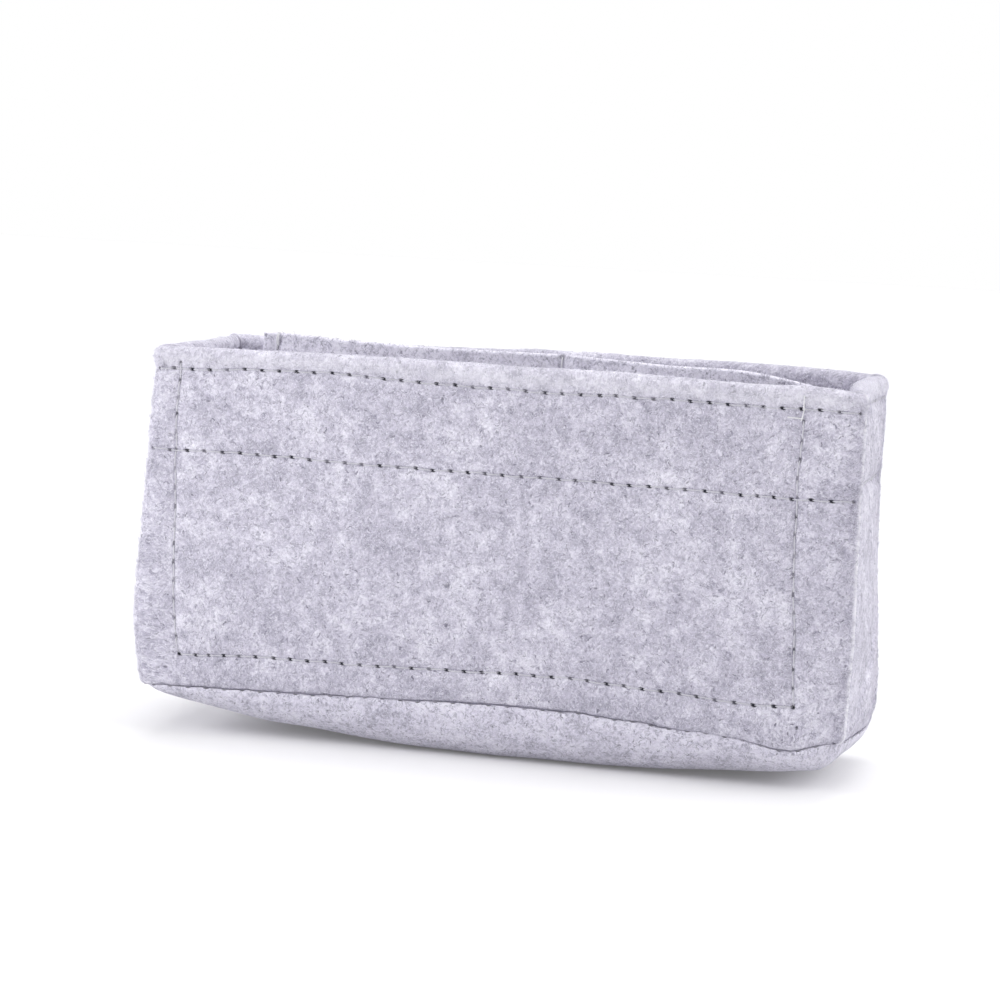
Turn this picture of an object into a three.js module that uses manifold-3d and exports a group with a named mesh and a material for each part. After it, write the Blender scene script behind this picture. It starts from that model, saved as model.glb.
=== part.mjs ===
import * as THREE from 'three';
import { mergeVertices } from 'three/addons/utils/BufferGeometryUtils.js';
import Module from 'manifold-3d';

const wasm = await Module();
wasm.setup();

// Felt insert for a handbag: an open box of four hemmed walls on a pillowed bottom.
// Millimetres. X runs along the length, Y from front to back, Z up from the floor.
const LENGTH = 200;
const DEPTH = 66;
const HEIGHT = 111;

// Felt
const FELT = 2.2; // one ply
const PLY_GAP = 0.3; // between plies that lie together
const CORNER_RADIUS = 3.2; // upright corners, seen from above
const SEAM_GAP = 0.4; // ditch between two walls at an upright corner

// Hem: the top of every wall is folded inwards and sewn down twice
const HEM_DROP = 33; // rim down to the lower edge of the hem
const FOLD_SLACK = 0.6; // between the wall and its hem
const TOPSTITCH_DROP = 6; // rim down to the upper row
const HEM_STITCH_DROP = 29.8; // rim down to the lower row
const RIM_WIDTH = 2 * FELT + FOLD_SLACK;
const HEM_EDGE = HEIGHT - HEM_DROP;

// Bottom seam: wall and bottom are turned inwards and sewn together
const SEAM_HEIGHT = 15; // underside of the turned wall above the floor
const SEAM_ALLOWANCE = 8; // turned edge, measured from the outside of the wall
const TURN_RADIUS = 3; // outside radius of the turn

// Turned upright edges of the two end walls
const TURNED_EDGE = 9; // reach from the corner along the end wall
const TURNED_BLOCK = 1.5; // felt doubled over at the fold
const TURNED_CLEARANCE = 2; // above the bottom seam and below the hem
const MITRE_CLEARANCE = 0.1; // fold held back from the corner ditch
const WELD = 0.5; // depth by which joined shapes run into each other

// Pillow of the bottom panel
const BELLY_FLATTENED = 1.3; // taken off the curve where it rests on the floor
const BELLY_OVERRUN = 8; // the curve would close this far past the ends
const BELLY_ROUND = 15; // rounding towards the long walls
const BELLY_INSET = 0.5; // inside the face of the walls
const RING_INSET = 1.2; // outer edge of the turned allowance

// Pockets, the same on both long walls as seen from outside that wall
const POCKET_DROP = 2; // rim down to the mouth
const POCKET_STITCH_RISE = 9.5; // bottom seam up to the lower row
const POCKET_STITCH_HEIGHT = SEAM_HEIGHT + POCKET_STITCH_RISE;
const POCKET_STITCH_ARCH = 1.6; // rise of the lower row at mid length
const POCKET_HEM = 3; // panel below the lower row
const NEAR_ROW_TOP = 7; // corner to the near side row at the rim
const NEAR_ROW_FOOT = 10; // and at its foot
const FAR_ROW_TOP = 16.3; // corner to the far side row at the rim
const FAR_ROW_FOOT = 14.5; // and at its foot
const NEAR_MARGIN = 1.2; // panel beyond the near row
const FAR_MARGIN = 4.8; // panel beyond the far row
const POCKET_SLACK = 7; // mouth held open at the middle of a bay
const POCKET_LIFT = 4; // height over which the panel leaves the wall

// Thread: sunk rows lie in a groove, laid rows lie on the felt
const THREAD_RADIUS = 0.35;
const SUNK_COVER = 0.1; // felt face above a sunk row
const LAID_CLEARANCE = 0.2; // under a laid row
const GROOVE_CLEARANCE = 0.2;
const GROOVE_FLARE = 0.2; // the groove widens towards the face
const ROW_END = 4; // rows stop this far from a corner
const ROW_RISE = 3; // upright rows stop this far below the rim
const ROW_BEND = 3; // rounding where a row turns
const THREAD_ENDS_APART = 4; // where the bottom seam's thread starts and stops

// Soft set of the walls
const END_BULGE = 2.5; // end walls swell low down
const END_PINCH = 3; // and draw in at the rim
const END_REACH = 4; // power that keeps this near the ends
const WALL_BOW = 1.2; // long walls swell at half height
const LEFT_LEAN = 4; // left end stands out between the bottom seam and half height
const LEAN_PEAK = 4 / 27; // highest value of the curve that this lean follows

// Fineness of the curves
const LONG_STEPS = 8;
const END_STEPS = 6;
const UPRIGHT_PITCH = 8;
const ARC_STEPS = 6;
const TURN_STEPS = 2;
const BAY_STEPS = 6;
const POCKET_STEPS = 9;
const BELLY_STEPS = 12;
const BELLY_ARC_STEPS = 5;
const THREAD_HALF_SIDES = 3; // sides of half a thread's round
const ROW_POINTS = 8; // guide points along one run of a pocket row
const POCKET_ROW_STEPS = 44;
const SEAM_STEPS = 40;
const OVERSHOOT = 4; // cutting shapes reach past the felt

const SIDES = {
  front: { turn: 0, run: LENGTH, reach: DEPTH / 2, steps: LONG_STEPS },
  right_end: { turn: Math.PI / 2, run: DEPTH, reach: LENGTH / 2, steps: END_STEPS },
  back: { turn: Math.PI, run: LENGTH, reach: DEPTH / 2, steps: LONG_STEPS },
  left_end: { turn: -Math.PI / 2, run: DEPTH, reach: LENGTH / 2, steps: END_STEPS },
};

const felt = () => new THREE.MeshStandardMaterial({ color: 0xc6c4d0, roughness: 0.95, metalness: 0 });
const thread = () => new THREE.MeshStandardMaterial({ color: 0xb9b8c2, roughness: 0.7, metalness: 0 });
const part = new THREE.Group();
part.name = 'felt_organizer_insert';

function addMesh(name, geometry, material) {
  const mesh = new THREE.Mesh(geometry, material);
  mesh.name = name;
  part.add(mesh);
}

// Moves every corner point of a geometry by one rule.
function mapPoints(geometry, rule) {
  const position = geometry.attributes.position;
  const point = new THREE.Vector3();
  for (let i = 0; i < position.count; i += 1) {
    point.fromBufferAttribute(position, i);
    rule(point);
    position.setXYZ(i, point.x, point.y, point.z);
  }
  return geometry;
}

// The soft set of the box, zero from the bottom seam down. The left end leans out with its corners.
function soften(point) {
  const rise = THREE.MathUtils.clamp((point.z - SEAM_HEIGHT) / (HEIGHT - SEAM_HEIGHT), 0, 1);
  const across = 1 - (2 * point.y / DEPTH) ** 2;
  const along = 1 - (2 * point.x / LENGTH) ** 2;
  const swell = END_BULGE * Math.sin(Math.PI * rise) * (1 - rise ** 2);
  const endBow = swell - END_PINCH * rise ** 2;
  const nearEnd = Math.abs(2 * point.x / LENGTH) ** END_REACH;
  const nearWall = (2 * point.y / DEPTH) ** 2;
  const lean = point.x < 0 ? LEFT_LEAN * rise * (1 - rise) ** 2 / LEAN_PEAK : 0;
  point.x += Math.sign(point.x) * nearEnd * (endBow * across + lean);
  point.y += Math.sign(point.y) * nearWall * WALL_BOW * Math.sin(Math.PI * rise) * along;
}

// Takes a shape drawn against one wall (x along it, y inwards from its face) to its place.
function setOnSide(geometry, side) {
  geometry.translate(0, -side.reach, 0);
  geometry.rotateZ(side.turn);
  return mapPoints(geometry, soften);
}

// Upright prism over a plan outline, from one height to another.
function prism(outline, low, high) {
  const steps = Math.ceil((high - low) / UPRIGHT_PITCH);
  const shape = new THREE.Shape(outline);
  const geometry = new THREE.ExtrudeGeometry(shape, { depth: high - low, steps, bevelEnabled: false });
  return geometry.translate(0, 0, low);
}

function toSolid(geometry) {
  const bare = geometry.clone();
  bare.deleteAttribute('normal');
  bare.deleteAttribute('uv');
  const welded = mergeVertices(bare);
  const vertProperties = new Float32Array(welded.attributes.position.array);
  const triVerts = new Uint32Array(welded.index.array);
  return new wasm.Manifold(new wasm.Mesh({ numProp: 3, vertProperties, triVerts }));
}

function toGeometry(solid) {
  const mesh = solid.getMesh();
  const geometry = new THREE.BufferGeometry();
  geometry.setAttribute('position', new THREE.BufferAttribute(mesh.vertProperties, 3));
  geometry.setIndex(new THREE.BufferAttribute(mesh.triVerts, 1));
  geometry.computeVertexNormals();
  return geometry;
}

const arc = (cx, cy, radius, from, to, steps) => Array.from({ length: steps + 1 }, (_, i) => {
  const angle = from + (to - from) * i / steps;
  return new THREE.Vector2(cx + radius * Math.cos(angle), cy + radius * Math.sin(angle));
});

// Points of a straight upright face between two heights, ends left out.
function faceRun(reach, from, to) {
  const steps = Math.ceil(Math.abs(to - from) / UPRIGHT_PITCH);
  return Array.from({ length: steps - 1 }, (_, i) => {
    const height = from + (to - from) * (i + 1) / steps;
    return new THREE.Vector2(reach, height);
  });
}

// Groove for a sunk row in an upright face; inward is +1 or -1, climbing says the drawing direction.
function groove(reach, height, inward, climbing) {
  const half = THREAD_RADIUS + GROOVE_CLEARANCE;
  const floor = reach + inward * (SUNK_COVER + 2 * THREAD_RADIUS + GROOVE_CLEARANCE);
  const up = climbing ? 1 : -1;
  return [
    new THREE.Vector2(reach, height - up * (half + GROOVE_FLARE)),
    new THREE.Vector2(floor, height - up * half),
    new THREE.Vector2(floor, height + up * half),
    new THREE.Vector2(reach, height + up * (half + GROOVE_FLARE)),
  ];
}

// Cross-section of a wall: x is the reach inwards from the outer face, y the height.
function wallSection() {
  const upperRow = HEIGHT - TOPSTITCH_DROP;
  const lowerRow = HEIGHT - HEM_STITCH_DROP;
  const foldHeight = HEIGHT - RIM_WIDTH / 2;
  const turnHeight = SEAM_HEIGHT + TURN_RADIUS;
  const inner = FELT + FOLD_SLACK;
  return [
    ...arc(TURN_RADIUS, turnHeight, TURN_RADIUS, -Math.PI / 2, -Math.PI, TURN_STEPS),
    ...faceRun(0, turnHeight, lowerRow),
    ...groove(0, lowerRow, 1, true),
    ...faceRun(0, lowerRow, upperRow),
    ...groove(0, upperRow, 1, true),
    ...arc(RIM_WIDTH / 2, foldHeight, RIM_WIDTH / 2, Math.PI, 0, ARC_STEPS),
    ...groove(RIM_WIDTH, upperRow, -1, false),
    ...faceRun(RIM_WIDTH, upperRow, lowerRow),
    ...groove(RIM_WIDTH, lowerRow, -1, false),
    new THREE.Vector2(RIM_WIDTH, HEM_EDGE),
    new THREE.Vector2(inner, HEM_EDGE),
    ...faceRun(inner, HEM_EDGE, foldHeight),
    ...arc(RIM_WIDTH / 2, foldHeight, FOLD_SLACK / 2, 0, Math.PI, TURN_STEPS),
    ...faceRun(FELT, foldHeight, turnHeight),
    ...arc(TURN_RADIUS, turnHeight, TURN_RADIUS - FELT, Math.PI, 3 * Math.PI / 2, TURN_STEPS),
    new THREE.Vector2(SEAM_ALLOWANCE, SEAM_HEIGHT + FELT),
    new THREE.Vector2(SEAM_ALLOWANCE, SEAM_HEIGHT),
  ];
}

// Half length of a wall at a reach inwards, up to the ditch on the corner diagonal.
const mitre = (side, reach) => side.run / 2 - reach - SEAM_GAP / Math.SQRT2;

// Plan of all the felt that may belong to one wall.
function wallField(side) {
  const deep = SEAM_ALLOWANCE + OVERSHOOT;
  return [
    new THREE.Vector2(-mitre(side, -OVERSHOOT), -OVERSHOOT),
    new THREE.Vector2(mitre(side, -OVERSHOOT), -OVERSHOOT),
    new THREE.Vector2(mitre(side, deep), deep),
    new THREE.Vector2(-mitre(side, deep), deep),
  ];
}

// Plan of what is taken off to round the corner at the right end of a wall.
function cornerWaste(side) {
  const centre = side.run / 2 - CORNER_RADIUS;
  const far = side.run / 2 + OVERSHOOT;
  return [
    ...arc(centre, CORNER_RADIUS, CORNER_RADIUS, 0, -Math.PI / 2, ARC_STEPS),
    new THREE.Vector2(centre, -OVERSHOOT),
    new THREE.Vector2(far, -OVERSHOOT),
    new THREE.Vector2(far, CORNER_RADIUS),
  ];
}

const mirrored = (outline) => outline.map((p) => new THREE.Vector2(-p.x, p.y)).reverse();

// Plan of the turned upright edge at the right of an end wall.
function turnedEdge(side) {
  const edge = (reach) => mitre(side, reach) - MITRE_CLEARANCE;
  const root = FELT - WELD;
  const back = FELT + PLY_GAP;
  const face = back + FELT;
  const tip = side.run / 2 - TURNED_EDGE;
  return [
    new THREE.Vector2(edge(root), root),
    new THREE.Vector2(edge(face), face),
    new THREE.Vector2(tip, face),
    new THREE.Vector2(tip, back),
    new THREE.Vector2(edge(back) - TURNED_BLOCK, back),
    new THREE.Vector2(edge(back) - TURNED_BLOCK, root),
  ];
}

const rightCornerWaste = (side) => setOnSide(prism(cornerWaste(side), 0, HEIGHT + OVERSHOOT), side);
const leftCornerWaste = (side) => setOnSide(prism(mirrored(cornerWaste(side)), 0, HEIGHT + OVERSHOOT), side);

function makeWall(name, side, hasTurnedEdges) {
  const shape = new THREE.Shape(wallSection());
  const strip = new THREE.ExtrudeGeometry(shape, { depth: side.run, steps: side.steps, bevelEnabled: false });
  mapPoints(strip, (p) => p.set(p.z - side.run / 2, p.x, p.y));
  let wall = toSolid(setOnSide(strip, side));
  wall = wall.intersect(toSolid(setOnSide(prism(wallField(side), 0, HEIGHT + OVERSHOOT), side)));
  wall = wall.subtract(toSolid(rightCornerWaste(side)));
  wall = wall.subtract(toSolid(leftCornerWaste(side)));
  if (hasTurnedEdges) {
    const low = SEAM_HEIGHT + FELT + TURNED_CLEARANCE;
    const high = HEM_EDGE - TURNED_CLEARANCE;
    const edge = turnedEdge(side);
    wall = wall.add(toSolid(setOnSide(prism(edge, low, high), side)));
    wall = wall.add(toSolid(setOnSide(prism(mirrored(edge), low, high), side)));
  }
  addMesh(name, toGeometry(wall), felt());
}

makeWall('front_wall', SIDES.front, false);
makeWall('back_wall', SIDES.back, false);
makeWall('left_end_wall', SIDES.left_end, true);
makeWall('right_end_wall', SIDES.right_end, true);

// Closed block of cells; the rule places the corner with counts i, j, k.
function cellBlock(ni, nj, nk, rule) {
  const block = new THREE.BoxGeometry(ni, nj, nk, ni, nj, nk);
  return mapPoints(block, (p) => {
    const i = Math.round(p.x + ni / 2);
    const j = Math.round(p.y + nj / 2);
    const k = Math.round(p.z + nk / 2);
    rule(p, i, j, k);
  });
}

// Bottom: a pillowed sheet hung from the seam, with its edge turned inwards under the walls.
function makeBottom() {
  const top = SEAM_HEIGHT - PLY_GAP;
  const depth = top + BELLY_FLATTENED;
  const halfLength = LENGTH / 2 - BELLY_INSET;
  const halfCurve = LENGTH / 2 + BELLY_OVERRUN;
  const flatHalf = DEPTH / 2 - BELLY_INSET - BELLY_ROUND;
  const rows = 2 * BELLY_ARC_STEPS + 1;
  const sheet = cellBlock(BELLY_STEPS, rows, 1, (p, i, j, k) => {
    const x = halfLength * (2 * i / BELLY_STEPS - 1);
    const skin = k * FELT;
    const drop = depth * (1 - (x / halfCurve) ** 2) - skin;
    const angle = Math.PI / 2 * Math.min(j, rows - j) / BELLY_ARC_STEPS;
    const outward = flatHalf + (BELLY_ROUND - skin) * Math.cos(angle);
    const y = Math.sign(j - rows / 2) * outward;
    p.set(x, y, Math.max(top - drop * Math.sin(angle), skin));
  });
  const ringHalfLength = LENGTH / 2 - RING_INSET;
  const ringHalfDepth = DEPTH / 2 - RING_INSET;
  const rectangle = (a, b) => [
    new THREE.Vector2(-a, -b),
    new THREE.Vector2(a, -b),
    new THREE.Vector2(a, b),
    new THREE.Vector2(-a, b),
  ];
  const ringShape = new THREE.Shape(rectangle(ringHalfLength, ringHalfDepth));
  const opening = rectangle(LENGTH / 2 - SEAM_ALLOWANCE, DEPTH / 2 - SEAM_ALLOWANCE);
  ringShape.holes.push(new THREE.Path(opening));
  const ring = new THREE.ExtrudeGeometry(ringShape, { depth: FELT, bevelEnabled: false });
  ring.translate(0, 0, top - FELT);
  let bottom = toSolid(sheet).add(toSolid(ring));
  for (const side of [SIDES.front, SIDES.back]) {
    bottom = bottom.subtract(toSolid(rightCornerWaste(side)));
    bottom = bottom.subtract(toSolid(leftCornerWaste(side)));
  }
  addMesh('bottom_panel', toGeometry(bottom), felt());
}

makeBottom();

// Side rows of a pocket at a height, in the frame of its wall.
const POCKET_TOP = HEIGHT - POCKET_DROP;
const rowShare = (height) => (POCKET_TOP - height) / (POCKET_TOP - POCKET_STITCH_HEIGHT);
const nearRow = (h) => -LENGTH / 2 + THREE.MathUtils.lerp(NEAR_ROW_TOP, NEAR_ROW_FOOT, rowShare(h));
const farRow = (h) => LENGTH / 2 - THREE.MathUtils.lerp(FAR_ROW_TOP, FAR_ROW_FOOT, rowShare(h));
const stitchHeight = (x) => POCKET_STITCH_HEIGHT + POCKET_STITCH_ARCH * (1 - (2 * x / LENGTH) ** 2);

// Reach of the outer face of a pocket panel: against the wall below, over the hem above.
function pocketFace(height) {
  const foot = POCKET_STITCH_HEIGHT + POCKET_LIFT;
  const share = THREE.MathUtils.smoothstep(height, foot, HEM_EDGE - POCKET_LIFT);
  return THREE.MathUtils.lerp(FELT, RIM_WIDTH, share) + PLY_GAP;
}

function makePocket(name, side, bays) {
  const low = POCKET_STITCH_HEIGHT - POCKET_HEM;
  const columns = bays * BAY_STEPS;
  const panel = cellBlock(columns + 2, 1, POCKET_STEPS, (p, i, j, k) => {
    const height = THREE.MathUtils.lerp(low, POCKET_TOP, k / POCKET_STEPS);
    const share = THREE.MathUtils.clamp((i - 1) / columns, 0, 1);
    let x = THREE.MathUtils.lerp(nearRow(height), farRow(height), share);
    if (i === 0) {
      x -= NEAR_MARGIN;
    }
    if (i === columns + 2) {
      x += FAR_MARGIN;
    }
    const inBay = 2 * ((share * bays) % 1) - 1;
    const open = THREE.MathUtils.smoothstep(height, POCKET_STITCH_HEIGHT + POCKET_LIFT, HEM_EDGE);
    const reach = pocketFace(height) + POCKET_SLACK * open * (1 - inBay ** 2) + j * FELT;
    p.set(x, reach, height);
  });
  addMesh(name, setOnSide(panel, side), felt());
}

makePocket('front_pocket_panel', SIDES.front, 1);
makePocket('back_pocket_panel', SIDES.back, 2);

// One thread along a path drawn against a wall or, without a side, in the frame of the box.
function makeThread(name, path, steps, side) {
  const section = new THREE.Shape().absarc(0, 0, THREAD_RADIUS, 0, 2 * Math.PI, false);
  const options = { steps, extrudePath: path, curveSegments: THREAD_HALF_SIDES, bevelEnabled: false };
  const tube = new THREE.ExtrudeGeometry(section, options);
  if (side) {
    setOnSide(tube, side);
  }
  addMesh(name, tube, thread());
}

const smoothPath = (points) => new THREE.CatmullRomCurve3(points, false, 'centripetal');

// Straight runs between corners, each corner eased by the bend of a row.
function easedPath(corners) {
  const path = new THREE.CurvePath();
  const towards = (from, to) => from.clone().add(to.clone().sub(from).setLength(ROW_BEND));
  let start = corners[0];
  corners.slice(1, -1).forEach((corner, i) => {
    const before = towards(corner, corners[i]);
    const after = towards(corner, corners[i + 2]);
    path.add(new THREE.LineCurve3(start, before));
    path.add(new THREE.QuadraticBezierCurve3(before, corner, after));
    start = after;
  });
  path.add(new THREE.LineCurve3(start, corners.at(-1)));
  return path;
}

// Two rows across the hem of every wall: needle thread outside, bobbin thread inside.
const sunk = SUNK_COVER + THREAD_RADIUS;
const laid = LAID_CLEARANCE + THREAD_RADIUS;
const HEM_ROWS = { topstitch: TOPSTITCH_DROP, hem_stitch: HEM_STITCH_DROP };
for (const [sideName, side] of Object.entries(SIDES)) {
  for (const [rowName, drop] of Object.entries(HEM_ROWS)) {
    const height = HEIGHT - drop;
    const row = (half, reach) => new THREE.LineCurve3(
      new THREE.Vector3(-half, reach, height),
      new THREE.Vector3(half, reach, height),
    );
    const outside = side.run / 2 - ROW_END;
    const inside = side.run / 2 - RIM_WIDTH - ROW_END;
    makeThread(`${sideName}_${rowName}_needle_thread`, row(outside, sunk), side.steps, side);
    makeThread(`${sideName}_${rowName}_bobbin_thread`, row(inside, RIM_WIDTH - sunk), side.steps, side);
  }
}

// Pocket rows: down one side, along the foot and up the other side.
const rowTop = HEIGHT - ROW_RISE;
const footTurn = POCKET_STITCH_HEIGHT + ROW_BEND;
const heights = Array.from({ length: ROW_POINTS + 1 }, (_, i) => (
  THREE.MathUtils.lerp(rowTop, footTurn, i / ROW_POINTS)
));
const upright = (xAt, reachAt, top) => heights
  .map((h) => Math.min(h, top))
  .filter((h, i, all) => all.indexOf(h) === i)
  .map((h) => new THREE.Vector3(xAt(h), reachAt(h), h));

function pocketRow(reachAt, top) {
  const left = nearRow(POCKET_STITCH_HEIGHT) + ROW_BEND;
  const right = farRow(POCKET_STITCH_HEIGHT) - ROW_BEND;
  const foot = Array.from({ length: ROW_POINTS + 1 }, (_, i) => {
    const x = THREE.MathUtils.lerp(left, right, i / ROW_POINTS);
    return new THREE.Vector3(x, reachAt(POCKET_STITCH_HEIGHT), stitchHeight(x));
  });
  const up = upright(farRow, reachAt, top).reverse();
  return smoothPath([...upright(nearRow, reachAt, top), ...foot, ...up]);
}

const outsideReach = () => -laid;
const pocketReach = (height) => pocketFace(height) + FELT + laid;
const pocketRowTop = POCKET_TOP - ROW_RISE;
for (const sideName of ['front', 'back']) {
  const side = SIDES[sideName];
  const rowOutside = pocketRow(outsideReach, rowTop);
  const rowInside = pocketRow(pocketReach, pocketRowTop);
  makeThread(`${sideName}_pocket_needle_thread`, rowOutside, POCKET_ROW_STEPS, side);
  makeThread(`${sideName}_pocket_bobbin_thread`, rowInside, POCKET_ROW_STEPS, side);
}

// The back pocket is divided by one upright row that stops short of the foot row.
const middleRow = (height) => (nearRow(height) + farRow(height)) / 2;
const dividerOutside = smoothPath(upright(middleRow, outsideReach, rowTop));
const dividerInside = smoothPath(upright(middleRow, pocketReach, pocketRowTop));
makeThread('back_divider_needle_thread', dividerOutside, LONG_STEPS, SIDES.back);
makeThread('back_divider_bobbin_thread', dividerInside, LONG_STEPS, SIDES.back);

// Upright corner seams: a thread up each turned edge of the end walls.
const edgeReach = 2 * FELT + PLY_GAP + laid;
const edgeOffset = DEPTH / 2 - (TURNED_EDGE + RIM_WIDTH) / 2;
const edgeLow = SEAM_HEIGHT + FELT + 2 * TURNED_CLEARANCE;
const edgeHigh = HEM_EDGE - 2 * TURNED_CLEARANCE;
const cornerRow = (offset) => new THREE.LineCurve3(
  new THREE.Vector3(offset, edgeReach, edgeLow),
  new THREE.Vector3(offset, edgeReach, edgeHigh),
);
makeThread('corner_seam_thread_front_right', cornerRow(-edgeOffset), END_STEPS, SIDES.right_end);
makeThread('corner_seam_thread_back_right', cornerRow(edgeOffset), END_STEPS, SIDES.right_end);
makeThread('corner_seam_thread_back_left', cornerRow(-edgeOffset), END_STEPS, SIDES.left_end);
makeThread('corner_seam_thread_front_left', cornerRow(edgeOffset), END_STEPS, SIDES.left_end);

// Bottom seam: one thread round the turned edge, its two ends apart at the middle of the back.
const seamInset = (FELT + SEAM_ALLOWANCE) / 2;
const seamX = LENGTH / 2 - seamInset;
const seamY = DEPTH / 2 - seamInset;
const seamZ = SEAM_HEIGHT + FELT + laid;
const seamPoint = (x, y) => new THREE.Vector3(x, y, seamZ);
const seamPath = easedPath([
  seamPoint(-THREAD_ENDS_APART / 2, seamY),
  seamPoint(-seamX, seamY),
  seamPoint(-seamX, -seamY),
  seamPoint(seamX, -seamY),
  seamPoint(seamX, seamY),
  seamPoint(THREAD_ENDS_APART / 2, seamY),
]);
makeThread('bottom_seam_thread', seamPath, SEAM_STEPS);

export default part;
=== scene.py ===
import math

import bmesh
import bpy
import numpy as np
from mathutils import Matrix, Vector


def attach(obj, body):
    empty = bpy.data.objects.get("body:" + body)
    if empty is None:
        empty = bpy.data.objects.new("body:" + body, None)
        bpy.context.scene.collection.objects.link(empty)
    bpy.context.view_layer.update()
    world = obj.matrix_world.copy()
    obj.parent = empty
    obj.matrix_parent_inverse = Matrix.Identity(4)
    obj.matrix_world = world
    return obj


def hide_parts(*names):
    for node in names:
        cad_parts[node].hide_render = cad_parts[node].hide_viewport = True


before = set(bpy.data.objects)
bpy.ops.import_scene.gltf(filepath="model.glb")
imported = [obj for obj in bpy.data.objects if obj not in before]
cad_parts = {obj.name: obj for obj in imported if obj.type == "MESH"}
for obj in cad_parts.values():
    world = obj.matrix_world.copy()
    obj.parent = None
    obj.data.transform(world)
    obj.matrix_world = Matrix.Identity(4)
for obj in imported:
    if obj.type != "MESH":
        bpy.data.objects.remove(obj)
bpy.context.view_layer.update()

# Sizes in millimetres, as in the CAD frame
MM = 0.001
LENGTH = 200.0
DEPTH = 66.0
HEIGHT = 111.0
FELT = 2.2
PLY_GAP = 0.3
FOLD_SLACK = 0.6
RIM = 2 * FELT + FOLD_SLACK
HEM_EDGE = HEIGHT - 33.0
SEAM = 15.0
ALLOWANCE = 8.0
TURN = 2.2
TURNED_EDGE = 9.0
ROUND = 3.2
LEAST_ROUND = 0.4
LONG_WRAP = math.radians(72)
END_WRAP = math.radians(18)
SEAM_GAP = 0.06

# Sewing rows: their places, and how they draw in the felt
TOP_ROW = HEIGHT - 6.0
HEM_ROW = HEIGHT - 29.8
FOOT_ROW = SEAM + 9.5
FOOT_ARCH = 1.6
DIVIDER_LOW = FOOT_ROW + 4.5
DIVIDER_HIGH = HEIGHT - 2.2
NEAR_ROW = (-93.0, -90.0)
FAR_ROW = (83.7, 85.5)
NEAR_X = sum(NEAR_ROW) / 2
FAR_X = sum(FAR_ROW) / 2
MID_X = (NEAR_X + FAR_X) / 2
ROW_INSET = 1.6
PITCH = 5.1
HOLE_SPREAD = 0.16
ROW_WANDER = 0.1
ROW_STEP = 100
FAR_OFF = 9.0
UPRIGHT_PULL = 0.65
END_HEM_PULL = 2.2
# Depth and width of each, and for a hole also its length
WALL_DENT = {"pucker": (0.42, 2.4), "groove": (0.12, 0.45), "hole": (0.8, 0.45, 0.5)}
POCKET_DENT = {"pucker": (0.3, 2.2), "groove": (0.25, 0.6), "hole": (0.5, 0.45, 0.6)}

# Soft forms of the walls
END_BULGE = 2.5
END_PINCH = 3.0
END_REACH = 4
WALL_BOW = 1.2
LEAN_FROM = 55.0
REAR_FROM = 8.0
RIM_SWELL, RIM_SWELL_WIDTH = 0.55, 3.2
CORNER_RIDGE, CORNER_RIDGE_WIDTH = 0.5, 0.75
CUT_DEPTH, CUT_WIDTH = 0.2, 0.5
# Height, size and shift of each layer of dents
WALL_LAYERS = ((0.32, 31.0, 0, 0), (0.16, 11.0, 50, 0), (0.07, 3.1, 0, 70), (0.05, 1.1, 0, 0))
POCKET_LAYERS = ((0.25, 24.0, 0, 0), (0.12, 8.0, 0, 9), (0.06, 2.4, 0, 0))

rng = np.random.default_rng(20)


def smoothstep(x, low, high):
    t = np.clip((x - low) / (high - low), 0.0, 1.0)
    return t * t * (3.0 - 2.0 * t)


def bell(x, width):
    """A smooth bump, 1 high at 0."""
    return np.exp(-((x / width) ** 2))


def unit(v):
    return v / np.maximum(np.linalg.norm(v, axis=-1, keepdims=True), 1e-9)


def zero(x, level=0.0):
    return 0 * x


def guide(*points):
    """Smooth curve through a few points, level past its ends."""
    xs = np.array([p[0] for p in points], float)
    ys = np.array([p[1] for p in points], float)
    slopes = np.gradient(ys, xs)

    def at(x):
        x = np.clip(np.asarray(x, float), xs[0], xs[-1])
        i = np.clip(np.searchsorted(xs, x) - 1, 0, len(xs) - 2)
        h = xs[i + 1] - xs[i]
        t = (x - xs[i]) / h
        a = (2 * t**3 - 3 * t**2 + 1) * ys[i] + (t**3 - 2 * t**2 + t) * h * slopes[i]
        b = (3 * t**2 - 2 * t**3) * ys[i + 1] + (t**3 - t**2) * h * slopes[i + 1]
        return a + b

    return at


class Noise:
    """Smooth value noise on a repeating lattice, from -1 to 1."""

    CELLS = 128

    def __init__(self, seed):
        self.table = np.random.default_rng(seed).uniform(-1, 1, (self.CELLS, self.CELLS))

    def __call__(self, x, y, size):
        a, b = np.asarray(x, float) / size, np.asarray(y, float) / size
        i, j = np.floor(a).astype(int), np.floor(b).astype(int)
        s, t = a - i, b - j
        s, t = s * s * (3 - 2 * s), t * t * (3 - 2 * t)
        i, j = i % self.CELLS, j % self.CELLS
        k, m = (i + 1) % self.CELLS, (j + 1) % self.CELLS
        low = self.table[i, j] * (1 - s) + self.table[k, j] * s
        high = self.table[i, m] * (1 - s) + self.table[k, m] * s
        return low * (1 - t) + high * t

    def layered(self, x, y, layers):
        return sum(height * self(x + dx, y + dy, size) for height, size, dx, dy in layers)


# The left end leans out low down, and the back half of the right end a little
LEFT_LEAN = guide((0.0, 2.0), (0.08, 3.2), (0.16, 4.1), (0.42, 3.2), (0.7, 1.6), (1.0, 0.5))
RIGHT_LEAN = guide((0.0, 3.6), (0.1, 3.6), (0.22, 2.7), (0.45, 1.2), (0.7, 0.9), (0.85, 1.1), (1.0, 0.7))
CORNER_LEAN = guide((0.0, 0.2), (0.12, 0.4), (0.3, 0.8), (0.5, 0.3), (0.7, 0.3), (1.0, 0.8))


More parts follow.
